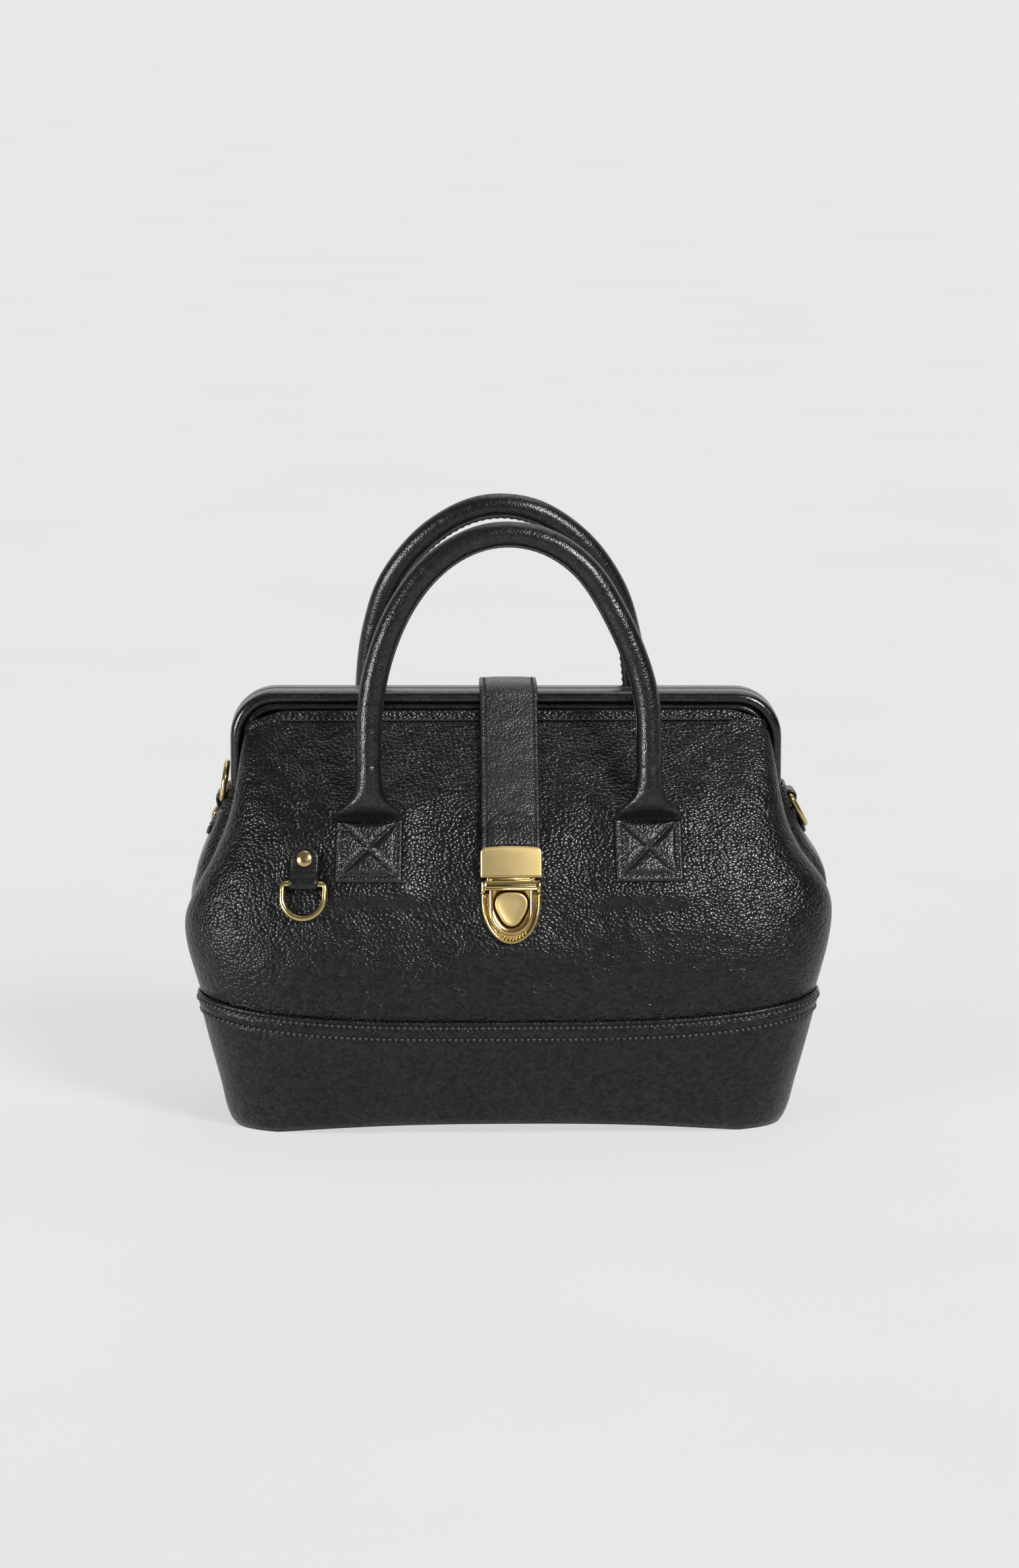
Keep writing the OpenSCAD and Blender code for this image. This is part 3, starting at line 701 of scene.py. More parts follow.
def round_bag(z, off):
    """Points and normals all the way round the bag, front then back."""
    count = len(COLUMNS)
    z, off = (np.broadcast_to(v, count + len(BACK_COLUMNS)) for v in (z, off))
    front = on_leather(1, COLUMNS, z[:count], off[:count])
    back = on_leather(-1, BACK_COLUMNS, z[count:], off[count:])
    return [np.vstack(pair) for pair in zip(front, back)]


JAWS = {1: "front_jaw", -1: "rear_jaw"}
SIDE_NAMES = {1: "front", -1: "rear"}


def bend_with_jaw(obj):
    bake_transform(obj)


def make_shells():
    hem_drop = 4.2
    for side in (1, -1):
        name = SIDE_NAMES[side]
        top = shell_top(SHARE)
        nodes = ("front_panel", "front_upper_panel") if side > 0 else ("back_panel", "rear_upper_panel")
        shell = wall(f"{name}_leather", side, GRAIN, SHELL_LOW, top, 0.0, SHELL_T,
                     grooves=(hem_drop,), nodes=nodes)
        bend_with_jaw(shell)
        # hem stitches, between the two upper corners
        x = np.linspace(111, -111, 230)
        cols = np.array([column_at(side, v, 196) for v in x])
        z = np.interp(cols, COLUMNS, top) - hem_drop
        spots, normals = on_leather(side, cols, z, np.full(len(x), -0.38))
        row = many_lofts(f"{name}_hem_stitches", stitch_row(spots, normals), THREAD)
        bend_with_jaw(row)
        swells, normals = on_leather(side, cols, z + 0.5, np.zeros(len(x)))
        # The puckers wear the lighter leather: a painted highlight on each bead.
        puckers = many_lofts(f"{name}_hem_puckers", stitch_row(swells, normals, **PUCKER), PUCKER_PAINTED_HIGHLIGHT)
        bend_with_jaw(puckers)
        # lining, seen when the mouth is open
        cloth = wall(f"{name}_lining", side, LINING, 7.0, top - 1.6, -SHELL_T - 0.5,
                     0.6, nodes=("lining",) if side > 0 else ())
        bend_with_jaw(cloth)


def bottom_arch(x):
    """The front and rear bottom edges rise off the floor between the corners."""
    return 5.8 * np.maximum(0, 1 - (abs(x) / 129) ** 2.8)


def make_band():
    """Base band over the shell's foot, all the way round, with two rows of stitches."""
    rows_below = [0, 0.35, 0.9, 1.7, 2.3, 2.7, 3.1, 3.9, 5.6, 7.4, 8.1, 8.6, 9.1, 10.6, 13, 16]
    grooves = (2.7, 8.6)
    outer, inner = [], []
    x = np.concatenate([SURFACES[1][0][60, :, 0], SURFACES[-1][0][60, BACK_COLUMNS, 0]])
    top, low = band_top(x), 0.25 + bottom_arch(x)
    drops = [np.full(len(x), float(d)) for d in rows_below]
    drops += [rows_below[-1] + (top - low - rows_below[-1]) * t for t in np.linspace(0, 1, 15)[1:]]
    for drop in drops:
        z = top - drop
        round_top = 0.55 * np.exp(-drop / 0.5)
        swell = 0.35 * bell(drop, 5.6, 2.0)
        tuck = 1.0 * (1 - smoothstep(0, 5, z - low))
        off = 2.15 - groove_dip(drop, grooves) - round_top + swell - tuck
        face, normal = round_bag(z, off)
        outer.append(face)
        inner.append(face - normal * (off[:, None] - 0.1))
    loops = two_sided(np.array(outer)[::-1], np.array(inner)[::-1], 0.35)
    loft("base_band", loops, BAND_LEATHER, ring=True, body="body", nodes=("base_band",))
    groups, swells = [], []
    for side in (1, -1):
        table = SURFACES[side][0]
        tops = band_top(table[60, :, 0])
        for drop in grooves:
            spots, normals = on_leather(side, COLUMNS, tops - drop, np.full(len(COLUMNS), 1.74))
            groups += stitch_row(spots, normals)
            swells += stitch_row(spots + normals * 0.35, normals, **PUCKER)
    many_lofts("band_stitches", groups, THREAD, body="body", slot="band_leather")
    # The puckers wear the lighter leather: a painted highlight on each bead.
    many_lofts("band_puckers", swells, PUCKER_PAINTED_HIGHLIGHT, body="body", slot="band_leather")


def make_base():
    """Turned-under edge and bottom, as a shallow pan with rounded edges."""
    edge = ((7.2, 1.4), (4.0, 1.4), (1.4, 1.9), (0.4, 2.8), (0.0, 4.2))        # height and inset
    rings = [round_bag(z, -inset)[0] for z, inset in edge]
    rings += [rings[-1] * [share, share, 1] for share in (0.93, 0.8, 0.6, 0.4, 0.2, 0.03)]
    for ring in rings:
        ring[:, 2] += 0.52 * bottom_arch(ring[:, 0])
    board = [r * [0.97, 0.95, 1] + [0, 0, 1.3] for r in rings[4:]]
    board += [np.column_stack([r[:, :2], np.full(len(r), 6.3)]) for r in board[::-1]]
    solid("fibreboard", board, BOARD, body="body", nodes=("base_board",))
    rings = rings + [r * [0.985, 0.975, 1] + [0, 0, 1.2] for r in rings[::-1]]
    solid("base_bottom", rings, BAND_LEATHER, body="body", nodes=("bottom_panel",))


FRAME_TOP, JAW_H, JAW_D, LEG_X, BEND_R = 211, 10, 12.5, 130.3, 17.5
COVER_SHIFT, COVER_SLOPE = 0.3, 0.004        # the covers sit slightly to the left and lean


def jaw_path(low, step=3.0):
    """Line of a jaw from one foot over the top to the other, with its outward direction."""
    rail = FRAME_TOP - JAW_H / 2
    arc = [(LEG_X - BEND_R + BEND_R * math.cos(a), rail - BEND_R + BEND_R * math.sin(a))
           for a in np.linspace(0, math.pi / 2, 16)]
    right = [(LEG_X, low), *arc]
    line = resample(np.array(right + [(-x, z) for x, z in right[::-1]]), step)
    along = tangents(line)
    return line, right_of(along)


def cover_outline():
    """Section of the front jaw's cover, outward then front to back: a roll over a recess, a flat top."""
    roll = [(1.6 + 3.2 * math.cos(q), -3.05 + 3.2 * math.sin(q))
            for q in np.linspace(math.radians(20), math.radians(-185), 22)]
    points = [(5.0, 5.2), (4.95, -1.6), *roll, (-2.6, -3.6), (-4.4, -3.7), (-5, -3.0), (-5, 5.6), (-4.6, 6.1),
              (4.4, 6.1), (4.85, 5.8)]
    return resample(np.array(points), 0.7, closed=True)


def make_frame_covers():
    outline = cover_outline()
    line, outward = jaw_path(153)
    for side in (1, -1):
        loops = [[(p[0] - COVER_SHIFT + o[0] * a, (b - JAW_D / 2 - 0.5) * side,
                   p[1] - COVER_SLOPE * p[0] + o[1] * a) for a, b in outline]
                 for p, o in zip(line, outward)]
        solid(f"{SIDE_NAMES[side]}_frame_roll", loops, FRAME, body=JAWS[side],
              nodes=(f"{SIDE_NAMES[side]}_frame_cover",))


# ---- handles

PIVOT_Y, PIVOT_Z, CROWN_Y, CROWN_Z = 64, 160, 47, 296
LEAN = math.atan((PIVOT_Y - CROWN_Y) / (CROWN_Z - PIVOT_Z))
HANDLE_R = 6.1
ARCH_LOW = 38
NECK_SPLIT = 163.0


# the photographed handles' lean from an even arch, front (1) and rear (-1)
HANDLE_SAG = {1: 3.1, -1: 0.3}
# for each hand: sideways bow, how late it bends, drift to the left
HANDLE_BOW = {1: ((1, -2.6, 1.8, 0), (-1, 0.3, 1, 0)), -1: ((1, 1.3, 2, 0.2), (-1, -1.9, 2, 0))}


def handle_path(shift, side):
    """Centreline of one handle from 20 mm above its right foot to its left foot."""
    rise = (CROWN_Z - PIVOT_Z) / math.cos(LEAN) - ARCH_LOW
    rise -= HANDLE_SAG[side]
    arch = [(TAB_X * math.cos(a), ARCH_LOW + rise * math.sin(a)) for a in np.linspace(0, math.pi, 90)]
    flat = [(TAB_X, 20), (TAB_X, 29)] + arch + [(-TAB_X, 29), (-TAB_X, 20)]
    flat = resample(np.array(flat), 3.0)
    climb = smoothstep(30, 136, flat[:, 1])
    for hand, bow, bend, drift in HANDLE_BOW[side]:
        wide = bow * np.sin(climb ** bend * math.pi) * smoothstep(-10, 60, hand * flat[:, 0])
        flat[:, 0] += wide - drift * climb
    return np.stack([flat[:, 0] + shift, side * (-PIVOT_Y + flat[:, 1] * math.sin(LEAN)),
                     PIVOT_Z + flat[:, 1] * math.cos(LEAN)], axis=1)


def make_handles():
    for side, shift in ((1, 0.0), (-1, REAR_SHIFT)):
        name = SIDE_NAMES[side]
        line = handle_path(shift, side)
        back = np.array([0, side * math.cos(LEAN), -math.sin(LEAN)])
        run = np.linspace(0, 1, len(line))
        from_end = np.minimum(run, 1 - run) * (len(line) - 1) * 3
        radius = HANDLE_R * (1 + 0.012 * np.sin(run * 61) + 0.010 * np.sin(run * 23 + side))
        radius *= 1 - 0.05 * bell(from_end, 0, 2.5)
        grid = tube(line, radius, back, sides=28)
        solid(f"{name}_handle_roll", grid, SMOOTH, body=f"{name}_grip",
              nodes=(f"{name}_handle",))
        solid(f"{name}_handle_cord", tube(line, 4.0, back, sides=10), CORD, body=f"{name}_grip",
              nodes=(f"{name}_handle_core",))
        # the seam and its thread run along the inside of the arch
        inward = unit(np.cross(tangents(line), np.broadcast_to(back, line.shape)))
        middle = line.mean(0)
        inward *= np.sign(np.sum((middle - line) * inward, axis=1))[:, None]
        seam_dir = unit(inward + 0.25 * back)
        spots = (line + seam_dir * (HANDLE_R - 0.12))[6:-6]
        many_lofts(f"{name}_handle_stitches", stitch_row(spots, seam_dir[6:-6], pitch=3.6, long=2.5), THREAD,
                   body=f"{name}_grip", slot="smooth_leather")
        ridge_share = np.clip((from_end - 4) / 14, 0.05, 1)       # the seam sinks in at both ends
        sunk = (HANDLE_R - 0.45 - 1.3 * (1 - ridge_share))[:, None]
        ridge = tube(line + seam_dir * sunk + np.cross(tangents(line), seam_dir) * 1.1,
                     0.75 * ridge_share, back, sides=8)
        solid(f"{name}_handle_seam", ridge, SMOOTH, body=f"{name}_grip")
        make_flares(name, side, shift)


FLARE = [  # height, centre depth from the bag's middle, half width, half thickness
    (155.0, 57.9, 16.2, 1.0), (157.0, 58.7, 16.1, 1.6), (159.0, 59.8, 15.4, 2.4), (161.0, 60.9, 14.0, 3.2),
    (163.0, 61.8, 12.2, 3.9), (165.0, 62.4, 10.4, 4.5), (167.0, 62.7, 8.8, 4.9), (169.4, 62.8, 7.5, 5.4),
    (172.5, 62.5, 6.8, 5.8), (176.0, 62.0, 6.4, 6.05), (181.5, 61.33, 6.15, 6.12), (184.5, 60.96, 5.7, 5.7),
]


def flare_loops(x, side, low, high):
    table = np.array(FLARE)
    smooth = spline(table, 0.8)
    smooth = smooth[(smooth[:, 0] >= low - 0.01) & (smooth[:, 0] <= high + 0.01)]
    turn = full_turn(36)
    loops = []
    for z, y, a, b in smooth:
        sharp = 2 + 1.2 * (a - b) / 14
        cx = np.sign(np.cos(turn)) * abs(np.cos(turn)) ** (2 / sharp)
        cy = np.sign(np.sin(turn)) * abs(np.sin(turn)) ** (2 / sharp)
        tuck = 0.95 if abs(z - NECK_SPLIT) > 0.25 and z in (smooth[0, 0], smooth[-1, 0]) else 1.0
        loops.append(np.stack([x + tuck * a * cx, side * (-y + tuck * b * cy), np.full(36, z)], axis=1))
    return loops


def make_flares(name, side, shift):
    """Two pieces a neck: its foot, between body and neck, and its throat, between neck and grip."""
    for end, x in (("left", -TAB_X + shift), ("right", TAB_X + shift)):
        foot = solid(f"neck_{name}_{end}_foot", flare_loops(x, side, FLARE[0][0], NECK_SPLIT + 0.5), SMOOTH,
                     nodes=(f"neck_{name}_{end}",))
        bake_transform(foot)
        throat = solid(f"neck_{name}_{end}_throat", flare_loops(x, side, NECK_SPLIT - 0.5, FLARE[-1][0]),
                       SMOOTH)
        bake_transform(throat)


# ---- handle tabs

TAB_STITCH = 13.4
TAB_FOOT, TAB_HEAD, SQUARE_UP = -14.9, 18.2, 2.0


def tab_height(a, b):
    """Height of a sewn tab: a flat border, then four puffed triangles between the stitch lines."""
    edge = np.minimum(TAB_W / 2 - abs(a), np.minimum(b - TAB_FOOT, TAB_HEAD - b))
    b2 = b - SQUARE_UP
    to_square = abs(np.maximum(abs(a), abs(b2)) - TAB_STITCH)
    inside = np.maximum(abs(a), abs(b2)) < TAB_STITCH
    to_cross = np.where(inside, np.minimum(abs(a - b2), abs(a + b2)) / math.sqrt(2), 9)
    nearest = np.minimum(to_square, to_cross)
    puff = np.where(inside, 1.5, 0.35) * (1 - np.exp(-(nearest / 1.5) ** 1.6))
    rim = 1.35 * smoothstep(-0.3, 1.1, edge)
    return 0.15 + rim + puff * smoothstep(0, 2.0, edge)


def make_tabs():
    steps_a = np.linspace(-TAB_W / 2, TAB_W / 2, 76)
    steps_b = np.linspace(TAB_FOOT, TAB_HEAD, 76)
    a, b = np.meshgrid(steps_a, steps_b, indexing="ij")
    for side in (1, -1):
        for end, x in (("left", -TAB_X), ("right", TAB_X)):
            shift = 0 if side > 0 else REAR_SHIFT
            place = on_front(x + shift, TAB_Z, TAB_TILT, math.copysign(2.5, x), 0.9, side)
            front = place(a, b, tab_height(a, b))
            back = place(a, b, -0.5)
            loops = np.concatenate([front, back[:, ::-1]], axis=1)
            name = f"tab_{SIDE_NAMES[side]}_{end}"
            loft(name, loops, TAB_GRAIN, body="body", nodes=(name,))
            s, u = TAB_STITCH, SQUARE_UP
            corners = [(-s, u - s), (s, u - s), (s, u + s), (-s, u + s), (-s, u - s)]
            lines = [*zip(corners, corners[1:]), (corners[0], corners[2]), (corners[1], corners[3])]
            groups = []
            for p, q in lines:
                t = np.linspace(0, 1, 30)[:, None]
                flat = np.array(p) * (1 - t) + np.array(q) * t
                spots = place(flat[:, 0], flat[:, 1], tab_height(flat[:, 0], flat[:, 1]) + 0.12)
                groups += stitch_row(spots, np.broadcast_to(place.out, spots.shape))
            many_lofts(f"{name}_stitches", groups, THREAD, body="body", slot="smooth_leather")


# ---- strap

STRAP_W, STRAP_T = 28.3, 3.0
STRAP_LINE = [(15.0, 212.6), (8, 213.1), (-2, 213.2), (-8.5, 213.0), (-13.2, 211.4), (-16.6, 207.2),
              (-24, 198.2), (-33, 186.5), (-51.5, 165.2), (-60.5, 153.2), (-67.3, 143.4), (-70.8, 129.4)]
ANCHOR_LINE = [(13.5, 211.6), (15.8, 208.6), (15.9, 203.2), (20, 198), (27, 191), (37.5, 180.5)]


def strip_loops(line, width, thick, groove=2.4):
    """Loops of a flat strap along a y-z line; its edges are round and its stitch lines pressed in."""
    along = tangents(line)
    normal = -right_of(along)
    if normal[:, 0].sum() > 0:
        normal = -normal
    half = width / 2
    across = np.concatenate([[-half, -half + 0.25, -half + 0.8], np.linspace(-half + 1.4, -half + 4.0, 7),
                             np.linspace(-half + 5, half - 5, 9),
                             np.linspace(half - 4.0, half - 1.4, 7), [half - 0.8, half - 0.25, half]])
    edge = half - abs(across)
    top = thick / 2 * rounded(edge, 0.8, 0)
    face = top + 0.25 * smoothstep(2, 9, edge) - 0.3 * bell(edge, groove, 0.45)
    loops = []
    for p, n in zip(line, normal):
        upper = [(LOCK_X + a, p[0] + n[0] * f, p[1] + n[1] * f) for a, f in zip(across, face)]
        lower = [(LOCK_X + a, p[0] - n[0] * f, p[1] - n[1] * f) for a, f in zip(across, top)]
        loops.append(upper + lower[::-1][1:-1])
    return loops, normal


def make_strap():
    line = spline(STRAP_LINE, 1.6)
    loops, normal = strip_loops(line, STRAP_W, STRAP_T)
    solid("strap_leather", loops, STRAP_LEATHER, body="strap_flap", nodes=("strap",))
    groups = []
    for edge in (-1, 1):
        x = LOCK_X + edge * (STRAP_W / 2 - 2.4)
        spots = np.stack([np.full(len(line), x), line[:, 0] + normal[:, 0] * 1.32,
                          line[:, 1] + normal[:, 1] * 1.32], axis=1)
        ups = np.stack([np.zeros(len(line)), normal[:, 0], normal[:, 1]], axis=1)
        groups += stitch_row(spots[3:-2], ups[3:-2])
    many_lofts("strap_stitches", groups, THREAD, body="strap_flap", slot="smooth_leather")

    anchor = spline(ANCHOR_LINE, 1.6)
    loops, _ = strip_loops(anchor, STRAP_W, 2.4)
    solid("strap_anchor_leather", loops, SMOOTH, body="rear_jaw", nodes=("strap_anchor",))


def make_strap_end():
    """Arched, stitched patch on the strap just above the lock."""
    patch_low, patch_top, half = 144.2, 159.4, 11.7
    mid = spline(STRAP_LINE, 0.5)
    keep = mid[(mid[:, 1] <= patch_top) & (mid[:, 1] >= patch_low)]
    along = tangents(keep)
    up = -right_of(along)
    up *= -np.sign(up[:, 0]).mean()
    run = run_along(keep)
    widths = half * rounded(run, half, 0.02)
    loops = []
    for p, n, w in zip(keep, up, widths):
        a = np.linspace(-w, w, 25)
        edge = np.minimum(w - abs(a), 3)
        f = 1.72 + 1.05 * smoothstep(-0.3, 0.7, edge) - 0.25 * bell(edge, 1.9, 0.4)
        front = np.stack([LOCK_X + a, p[0] + n[0] * f, p[1] + n[1] * f], axis=1)
        rear = np.stack(np.broadcast_arrays(LOCK_X + a, p[0] + n[0] * 1.3, p[1] + n[1] * 1.3), axis=1)
        loops.append(np.vstack([front, rear[::-1]]))
    loft("strap_end", loops, TAB_GRAIN, body="strap_flap", nodes=("strap_end_patch",))
    sweep = np.linspace(0, math.pi, 40)
    path = [(LOCK_X + 9.6 * math.cos(q), 11.7 - 9.6 * math.sin(q)) for q in sweep]
    path = [(LOCK_X + 9.7, 16.0)] + path + [(LOCK_X - 9.7, 16.0)]
    path = resample(np.array(path), 0.8)
    spots = np.stack([path[:, 0]] + [np.interp(path[:, 1], run, keep[:, k]) + 2.6
                                     * np.interp(path[:, 1], run, up[:, k]) for k in range(2)], axis=1)
    ups = np.stack([np.zeros(len(path))] + [np.interp(path[:, 1], run, up[:, k]) for k in range(2)], axis=1)
    many_lofts("strap_end_stitches", stitch_row(spots, ups), THREAD, body="strap_flap", slot="smooth_leather")


# ---- lock


def levels(place, outline, steps):
    """Loops of a plate: each step is an inset from the outline and a height."""
    outline = np.asarray(outline, float)
    along = tangents(outline, closed=True)
    out = right_of(along)
    if np.sum(out * (outline - outline.mean(0))) < 0:
        out = -out
    loops = []
    for inset, height in steps:
        ring = outline - out * inset
        loops.append(place(ring[:, 0], ring[:, 1], height))
    return loops


def u_points(half, bottom, level, top, n):
    """A U with straight sides above the given level and an elliptic foot."""
    turn = np.linspace(math.pi, math.tau, n)
    foot = [(half * math.cos(q), level + (level - bottom) * math.sin(q)) for q in turn]
    return np.array([(-half, top), *foot, (half, top)])


def ellipse_shield(half, bottom, level, top, n=60):
    return resample(u_points(half, bottom, level, top, n), 0.7, closed=True)


def open_u(half, bottom, level, top, n=60):
    """The same U as a line that is open at the top."""
    return resample(u_points(half, bottom, level, top, n), 0.8)


def pick_outline(grow=0.0):
    """Rounded triangle with bowed sides, point down."""
    turn = full_turn(96)
    radius = 7.7 + 0.75 * np.sin(3 * turn) + grow
    return np.stack([radius * np.cos(turn), 4.5 + 1.07 * radius * np.sin(turn)], axis=1)


def rounded_box(half_w, low, high, r, crown=0.0):
    points = []
    for cx, cy, start in ((half_w - r, low + 0.5, -90), (half_w - r, high - r, 0),
                          (-half_w + r, high - r, 90), (-half_w + r, low + 0.5, 180)):
        rr = 0.5 if cy < (low + high) / 2 else r
        cx = math.copysign(half_w - rr, cx)
        for q in np.linspace(start, start + 90, 7):
            t = math.radians(q)
            points.append((cx + rr * math.cos(t), cy + rr * math.sin(t)))
    box = resample(np.array(points), 0.6, closed=True)
    lift = crown * (1 - (box[:, 0] / half_w) ** 2) * smoothstep((low + high) / 2, high, box[:, 1])
    box[:, 1] += lift
    return box


def ridge(place, path, width, low, high):
    """A raised half-round rim along an open path on a face."""
    along = tangents(path)
    side = right_of(along)
    arc = np.linspace(0, math.pi, 9)
    loops = []
    for p, s in zip(path, side):
        section_points = [(width / 2 * math.cos(q), low + (high - low) * math.sin(q) ** 0.7) for q in arc]
        loops.append([place(p[0] + s[0] * a, p[1] + s[1] * a, h) for a, h in section_points])
    return loops


BUTTON_GAP = 0.45
SPRING = (1.75, 3.85)        # height of the coil's first and last turn
SPRING_WIRE = 0.12


def holed_plate(place, outline, steps):
    """Sections round a plate with the button's hole in it; steps as in levels."""
    hole = pick_outline(BUTTON_GAP)
    centre = np.array([0, 4.5])
    along = tangents(outline, closed=True)
    out = right_of(along)
    out *= np.sign(np.sum(out * (outline - centre)))
    reach = np.sum(out * (outline - centre), axis=1)
    loops = []
    for near in hole:
        aim_at = unit(near - centre)
        facing = out @ aim_at
        edge = np.min(reach[facing > 0.05] / facing[facing > 0.05])
        points = [(*(centre + aim_at * (edge - inset)), height) for inset, height in steps]
        points += [(*near, steps[-1][1]), (*near, steps[0][1])]
        loops.append(place(*np.transpose(points)))
    return loops


CATCH_HALF, CATCH_FOOT, CATCH_ARM = 14.5, -13.0, 11.2
TONGUE_HALF, TONGUE_FOOT = 10.9, -8.9


def lock_part(name, outline, steps, material=None, body="strap_flap", nodes=()):
    return solid(name, levels(LOCK, outline, steps), material or BRASS, body=body, nodes=nodes)


def make_catch():
    catch = ellipse_shield(CATCH_HALF, CATCH_FOOT, 8.0, 13.0)
    lock_part("catch_base", catch, [(0.5, 0.0), (0.0, 0.5), (0.0, 1.0), (0.45, 1.4)], body="body",
              nodes=("catch_plate",))
    rim = open_u(CATCH_HALF - 0.95, CATCH_FOOT + 0.95, 8.0, CATCH_ARM)
    solid("catch_rim", ridge(LOCK, rim, 1.9, 0.9, 3.2), BRASS, body="body")
    teeth = []
    for q in np.linspace(math.radians(-126), math.radians(-54), 10):
        foot = np.array([11.4 * math.cos(q), 6.0 + 17.0 * math.sin(q)])
        line = LOCK(np.full(7, foot[0]), np.full(7, foot[1]), np.linspace(1.0, 3.1, 7))
        rounded = np.sqrt(np.clip(1 - np.linspace(0, 0.97, 7) ** 4, 0.02, 1))
        teeth.append(tube(line, 0.68 * rounded, LOCK.right, sides=10))
    many_lofts("catch_teeth", teeth, BRASS, caps="face", body="body")


def make_tongue():
    tongue = ellipse_shield(TONGUE_HALF, TONGUE_FOOT, 3.0, 18.6)
    loft("tongue_base", holed_plate(LOCK, tongue, [(0.4, 1.75), (0.0, 2.1), (0.0, 2.7), (0.3, 3.0)]), BRASS,
         ring=True, body="strap_flap", nodes=("clasp_tongue",))
    solid("tongue_rim", ridge(LOCK, open_u(TONGUE_HALF - 1.15, TONGUE_FOOT + 1.15, 3.0, 18.6), 2.1, 2.6, 4.2),
          BRASS, body="strap_flap")
    # A dark plate under the gap round the button: painted shade in the gap.
    lock_part("button_gap_painted_shade", pick_outline(BUTTON_GAP), [(0.0, 1.46), (0.0, 1.58), (1.6, 1.6)], PAINTED_GAP_SHADE)
    turn = np.linspace(0, 3 * math.tau, 108)
    coil = LOCK(2.5 * np.cos(turn), 3 + 2.5 * np.sin(turn), np.linspace(*SPRING, len(turn)))
    spring = solid("spring_coil", tube(coil, SPRING_WIRE, LOCK.out, sides=8), STEEL,
                   body="strap_flap", nodes=("button_spring",))
    tuple(LOCK(0, 0, SPRING[0] - SPRING_WIRE) * MM)
    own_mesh(spring)
    # a hollow cap: from the ceiling inside it, down its wall, over the foot and up to the face
    lock_part("lock_push_button", pick_outline(), [
        (4.5, 4.0), (1.4, 4.0), (1.4, 2.95), (0.3, 2.9), (0.0, 3.2), (0.0, 4.5), (0.15, 4.85), (0.55, 5.12),
        (0.95, 5.2), (1.3, 5.12), (4.5, 5.06)], BRASS_FACE, "button", ("lock_button",))


def make_clasp():
    lock_part("bridge_bar", rounded_box(13.3, 13.5, 17.5, 1.0),
              [(0.0, 3.7), (0.0, 4.9), (0.3, 5.6), (0.8, 6.1), (1.5, 6.35)], nodes=("clasp_bridge",))
    lock_part("bridge_lip", rounded_box(12.9, 12.7, 13.9, 0.4), [(0.0, 3.7), (0.0, 5.0), (0.3, 5.5)])
    for hand, name in ((-1, "left"), (1, "right")):
        post = rounded_box(1.0, 11.6, 17.2, 0.4)
        post[:, 0] += 13.4 * hand
        lock_part(f"bridge_post_{name}", post, [(0.0, 1.5), (0.0, 3.8), (0.35, 4.3)])
    lock_part("clasp_face", rounded_box(14.85, 18.8, 33.0, 2.0, crown=1.1),
              [(0.0, 3.3), (0.0, 4.4), (0.15, 4.8), (0.5, 5.1), (1.1, 5.2)], BRASS_FACE, nodes=("clasp_plate",))
    lock_part("clasp_skirt", rounded_box(14.85, 19.2, 32.6, 2.0, crown=1.0),
              [(0.5, 0.2), (0.1, 0.5), (0.1, 3.0), (0.3, 3.2)])
    lock_part("clasp_throat", rounded_box(11.6, 16.8, 19.4, 0.4), [(0.0, 1.8), (0.0, 3.4), (0.3, 3.7)])


# ---- D rings

RING_HALF, WIRE_R, RING_DROP, LOOP_R = 10.25, 1.45, 6.4, 3.0


def ring_path():
    """D ring that hangs below its bar: closed line in its own plane, right and up."""
    turn = np.linspace(0, -math.pi, 40)
    arc = [(RING_HALF * math.cos(q), -RING_DROP + RING_HALF * math.sin(q)) for q in turn]
    corner = 1.3
    right = [(RING_HALF - corner, 0), (RING_HALF - 0.4 * corner, -0.25 * corner), (RING_HALF, -corner)]
    left = [(-x, y) for x, y in right[::-1]]
    return resample(np.array([(0, 0), *right, *arc, *left]), 0.9, closed=True)


def make_ring(name, place, body):
    path = ring_path()
    line = place(path[:, 0], path[:, 1], 0.0)
    loft(f"{name}_wire", tube(line, WIRE_R, place.out, sides=16, closed=True), BRASS, ring=True, body=body,
         nodes=(name,))


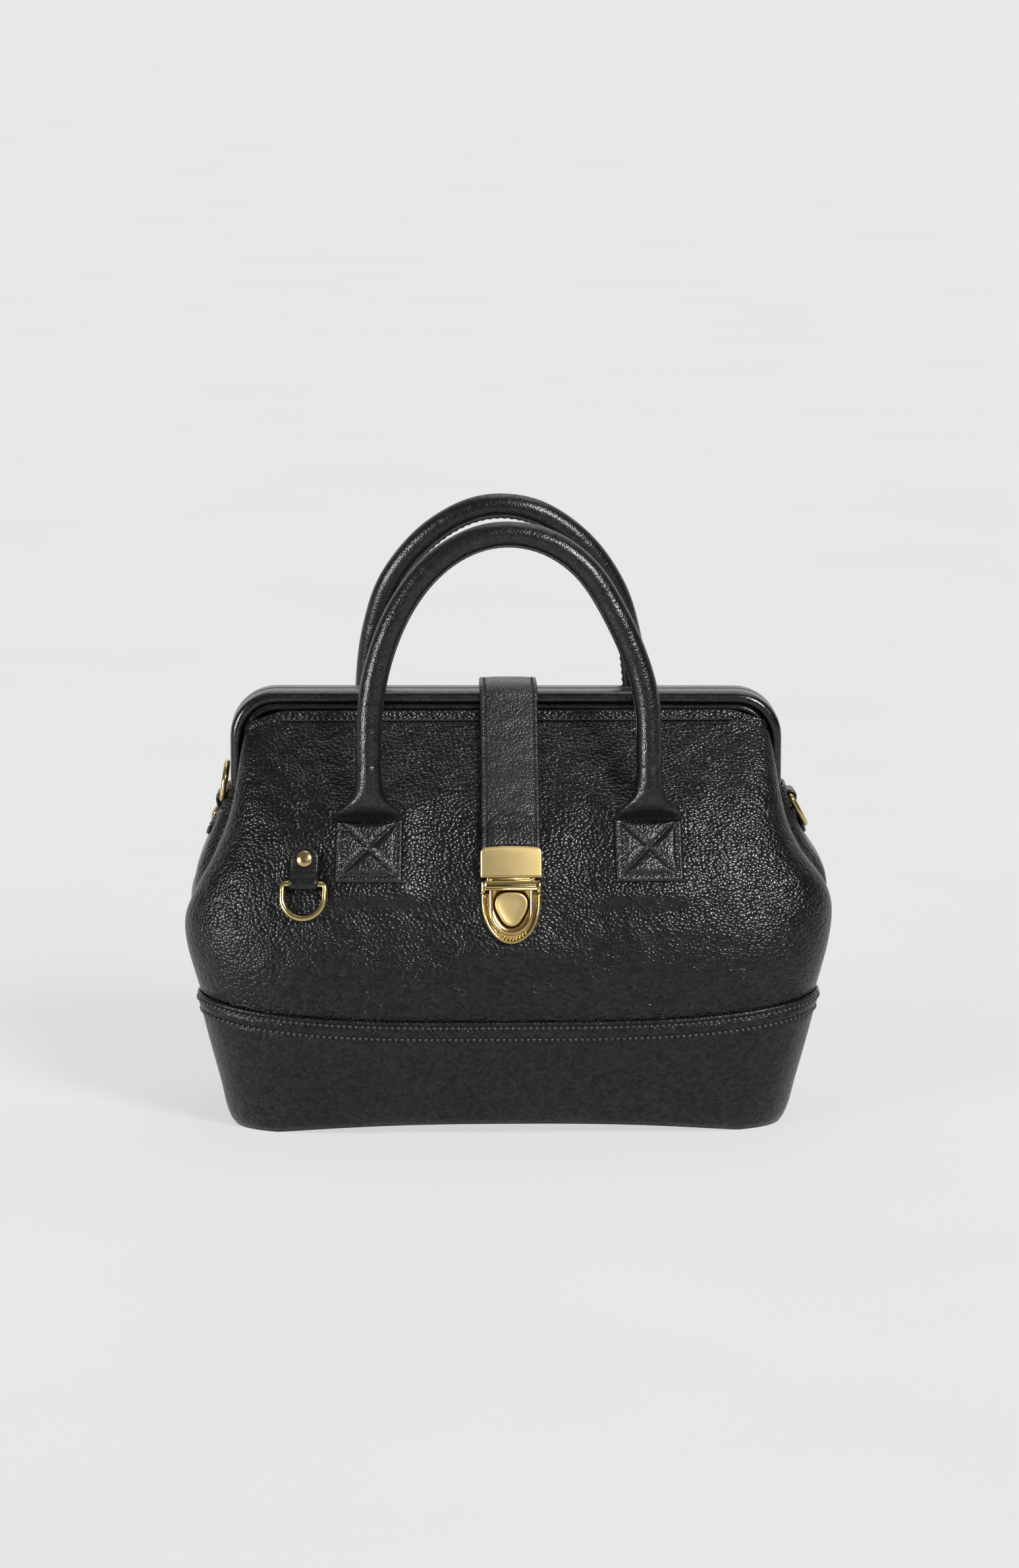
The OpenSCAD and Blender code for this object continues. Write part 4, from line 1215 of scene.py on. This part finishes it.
def tab_strip(name, place, length, thick, direction):
    """Doubled strip that passes round the ring's bar; direction is 1 when it runs up from the bar."""
    half, r = 6.9, LOOP_R - 0.7
    arc = [(r * math.cos(q), LOOP_R + r * math.sin(q)) for q in np.linspace(-math.pi / 2, math.pi / 2, 14)]
    back = [(v, 0.7) for v in np.linspace(-length + 0.6, -0.5, 26)]
    over = [(-0.5 - v, 2 * LOOP_R - 0.7 - (2 * LOOP_R - 0.7 - thick + 0.5) * smoothstep(0, 6, v))
            for v in np.linspace(0, length - 1.0, 26)]
    path = resample(np.array(back + arc + over), 0.7)
    reach = run_along(path)
    from_end = np.minimum(reach, reach[-1] - reach)
    widths = half * rounded(from_end, half, 0.03)
    along = tangents(path)
    normal = right_of(along)
    loops = []
    for p, n, w in zip(path, normal, widths):
        a = np.linspace(-w, w, 19)
        f = 0.72 * rounded(w - abs(a), 0.7, 0) + 0.02
        f = f - 0.16 * bell(w - abs(a), 1.7, 0.4)
        outer = place(a, -direction * (p[0] + n[0] * f), p[1] + n[1] * f)
        inner = place(a, -direction * (p[0] - n[0] * f), p[1] - n[1] * f)
        loops.append(np.vstack([outer, inner[::-1]]))
    loft(f"{name}_strip", loops, SMOOTH, body="body", nodes=(name,))
    face = thick - 0.5 + 0.62
    turn = np.linspace(0, math.pi, 24)
    edge = [(5.2, 5.5)] + [(5.2 * math.cos(q), length - 6.9 + 5.2 * math.sin(q)) for q in turn] + [(-5.2, 5.5)]
    edge = resample(np.array(edge), 0.8)
    spots = place(edge[:, 0], direction * edge[:, 1], face)
    many_lofts(f"{name}_stitches", stitch_row(spots, np.broadcast_to(place.out, spots.shape), pitch=2.4,
                                              long=1.8, radius=0.3), THREAD, body="body", slot="smooth_leather")
    return face


def rivet(name, place, up, face):
    turn = full_turn(40)
    loops = []
    for r, h in ((3.9, -0.3), (4.0, 0.1), (3.95, 0.45), (3.7, 0.72), (3.2, 1.02), (2.5, 1.3), (1.6, 1.5),
                 (0.7, 1.6), (0.15, 1.62)):
        loops.append(place(r * np.cos(turn), up + r * np.sin(turn), face + h))
    solid(f"{name}_dome", loops, BRASS, body="body", nodes=(name,))


class SidePlace(Place):
    """A flat place on a gusset: right runs front to back."""

    def __init__(self, hand, x, z, tilt):
        tilt = math.radians(tilt)
        self.origin = np.array([hand * x, 0, z], float)
        self.right = np.array([0, 1.0, 0])
        self.up = np.array([-hand * math.sin(tilt), 0, math.cos(tilt)])
        self.out = np.array([hand * math.cos(tilt), 0, math.sin(tilt)])


def make_rings():
    front = on_front(RING_X, RING_Z, RING_TILT, RING_TURN, RING_OFF)
    face = tab_strip("front_ring_tab", front, 19.5, 3.4, 1)
    rivet("front_ring_rivet", front, 12.2, face)
    bar = Place(0, 0, 0, RING_TILT, RING_TURN)
    bar.origin = front(0, 0, LOOP_R)
    make_ring("front_ring", bar, "front_d")
    side_x, side_z, tilt = 137.1, 156.5, 25
    for hand, name in ((-1, "left"), (1, "right")):
        place = SidePlace(hand, side_x, side_z, tilt)
        face = tab_strip(f"{name}_ring_tab", place, 21, 2.6, -1)
        rivet(f"{name}_ring_rivet", place, -9, face)
    right = SidePlace(1, 0, 0, tilt + 3)
    right.origin = SidePlace(1, side_x, side_z, tilt)(0, 0, LOOP_R)
    make_ring("right_ring", right, "right_d")
    left = SidePlace(-1, 0, 0, 0)
    left.origin = SidePlace(-1, side_x, side_z, tilt)(0, 0, LOOP_R)
    lean = math.radians(8)        # this ring stands up, leaning out
    left.up = np.array([-math.sin(lean), 0, -math.cos(lean)])
    left.out = np.array([-math.cos(lean), 0, math.sin(lean)])
    make_ring("left_ring", left, "left_d")


# ---- inside


def make_inside():
    """Lining over the board, and the pocket on the rear wall."""
    floor = [round_bag(z, -inset)[0] for z, inset in ((6.9, 3.2), (6.4, 3.4))]
    floor.append(floor[-1] * [0.8, 0.6, 1])
    floor += [r - [0, 0, 0.5] for r in floor[::-1]]
    solid("lining_floor", floor, LINING, body="body")
    steps_x, steps_z = np.linspace(-75, 75, 61), np.linspace(48, 118, 30)
    x, z = np.meshgrid(steps_x, steps_z, indexing="ij")
    swell = 1.4 * np.sin((x + 75) / 150 * math.pi) ** 0.6 * smoothstep(118, 60, z)
    droop = -0.6 * bell(z, 118, 6) * np.cos(x / 24)
    front = np.stack([x, 61.6 - swell + droop, z], axis=-1)
    back = front + [0, 0.8, 0]
    pocket = loft("pocket_cloth", np.concatenate([front, back[:, ::-1]], axis=1), LINING, body="body",
                  nodes=("inner_pocket",))
    hem = np.stack([steps_x, np.interp(steps_x, steps_x, front[:, -3, 1]) - 0.35, np.full(61, 114.0)], axis=1)
    many_lofts("pocket_stitches", stitch_row(hem, np.tile([0, -1.0, 0], (61, 1))), THREAD, body="body",
               slot="lining_cloth")


def dress_cad_nodes():
    """The frame's steel is hidden under its covers and keeps its CAD shape."""
    for name in ("catch_backing", "left_hinge_pin", "right_hinge_pin", "front_frame", "rear_frame"):
        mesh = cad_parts[name].data
        mesh.materials.clear()
        mesh.materials.append(STEEL)


make_shells()
make_band()
make_base()
make_frame_covers()
make_handles()
make_tabs()
make_strap()
make_strap_end()
make_catch()
make_tongue()
make_clasp()
make_rings()
make_inside()
dress_cad_nodes()
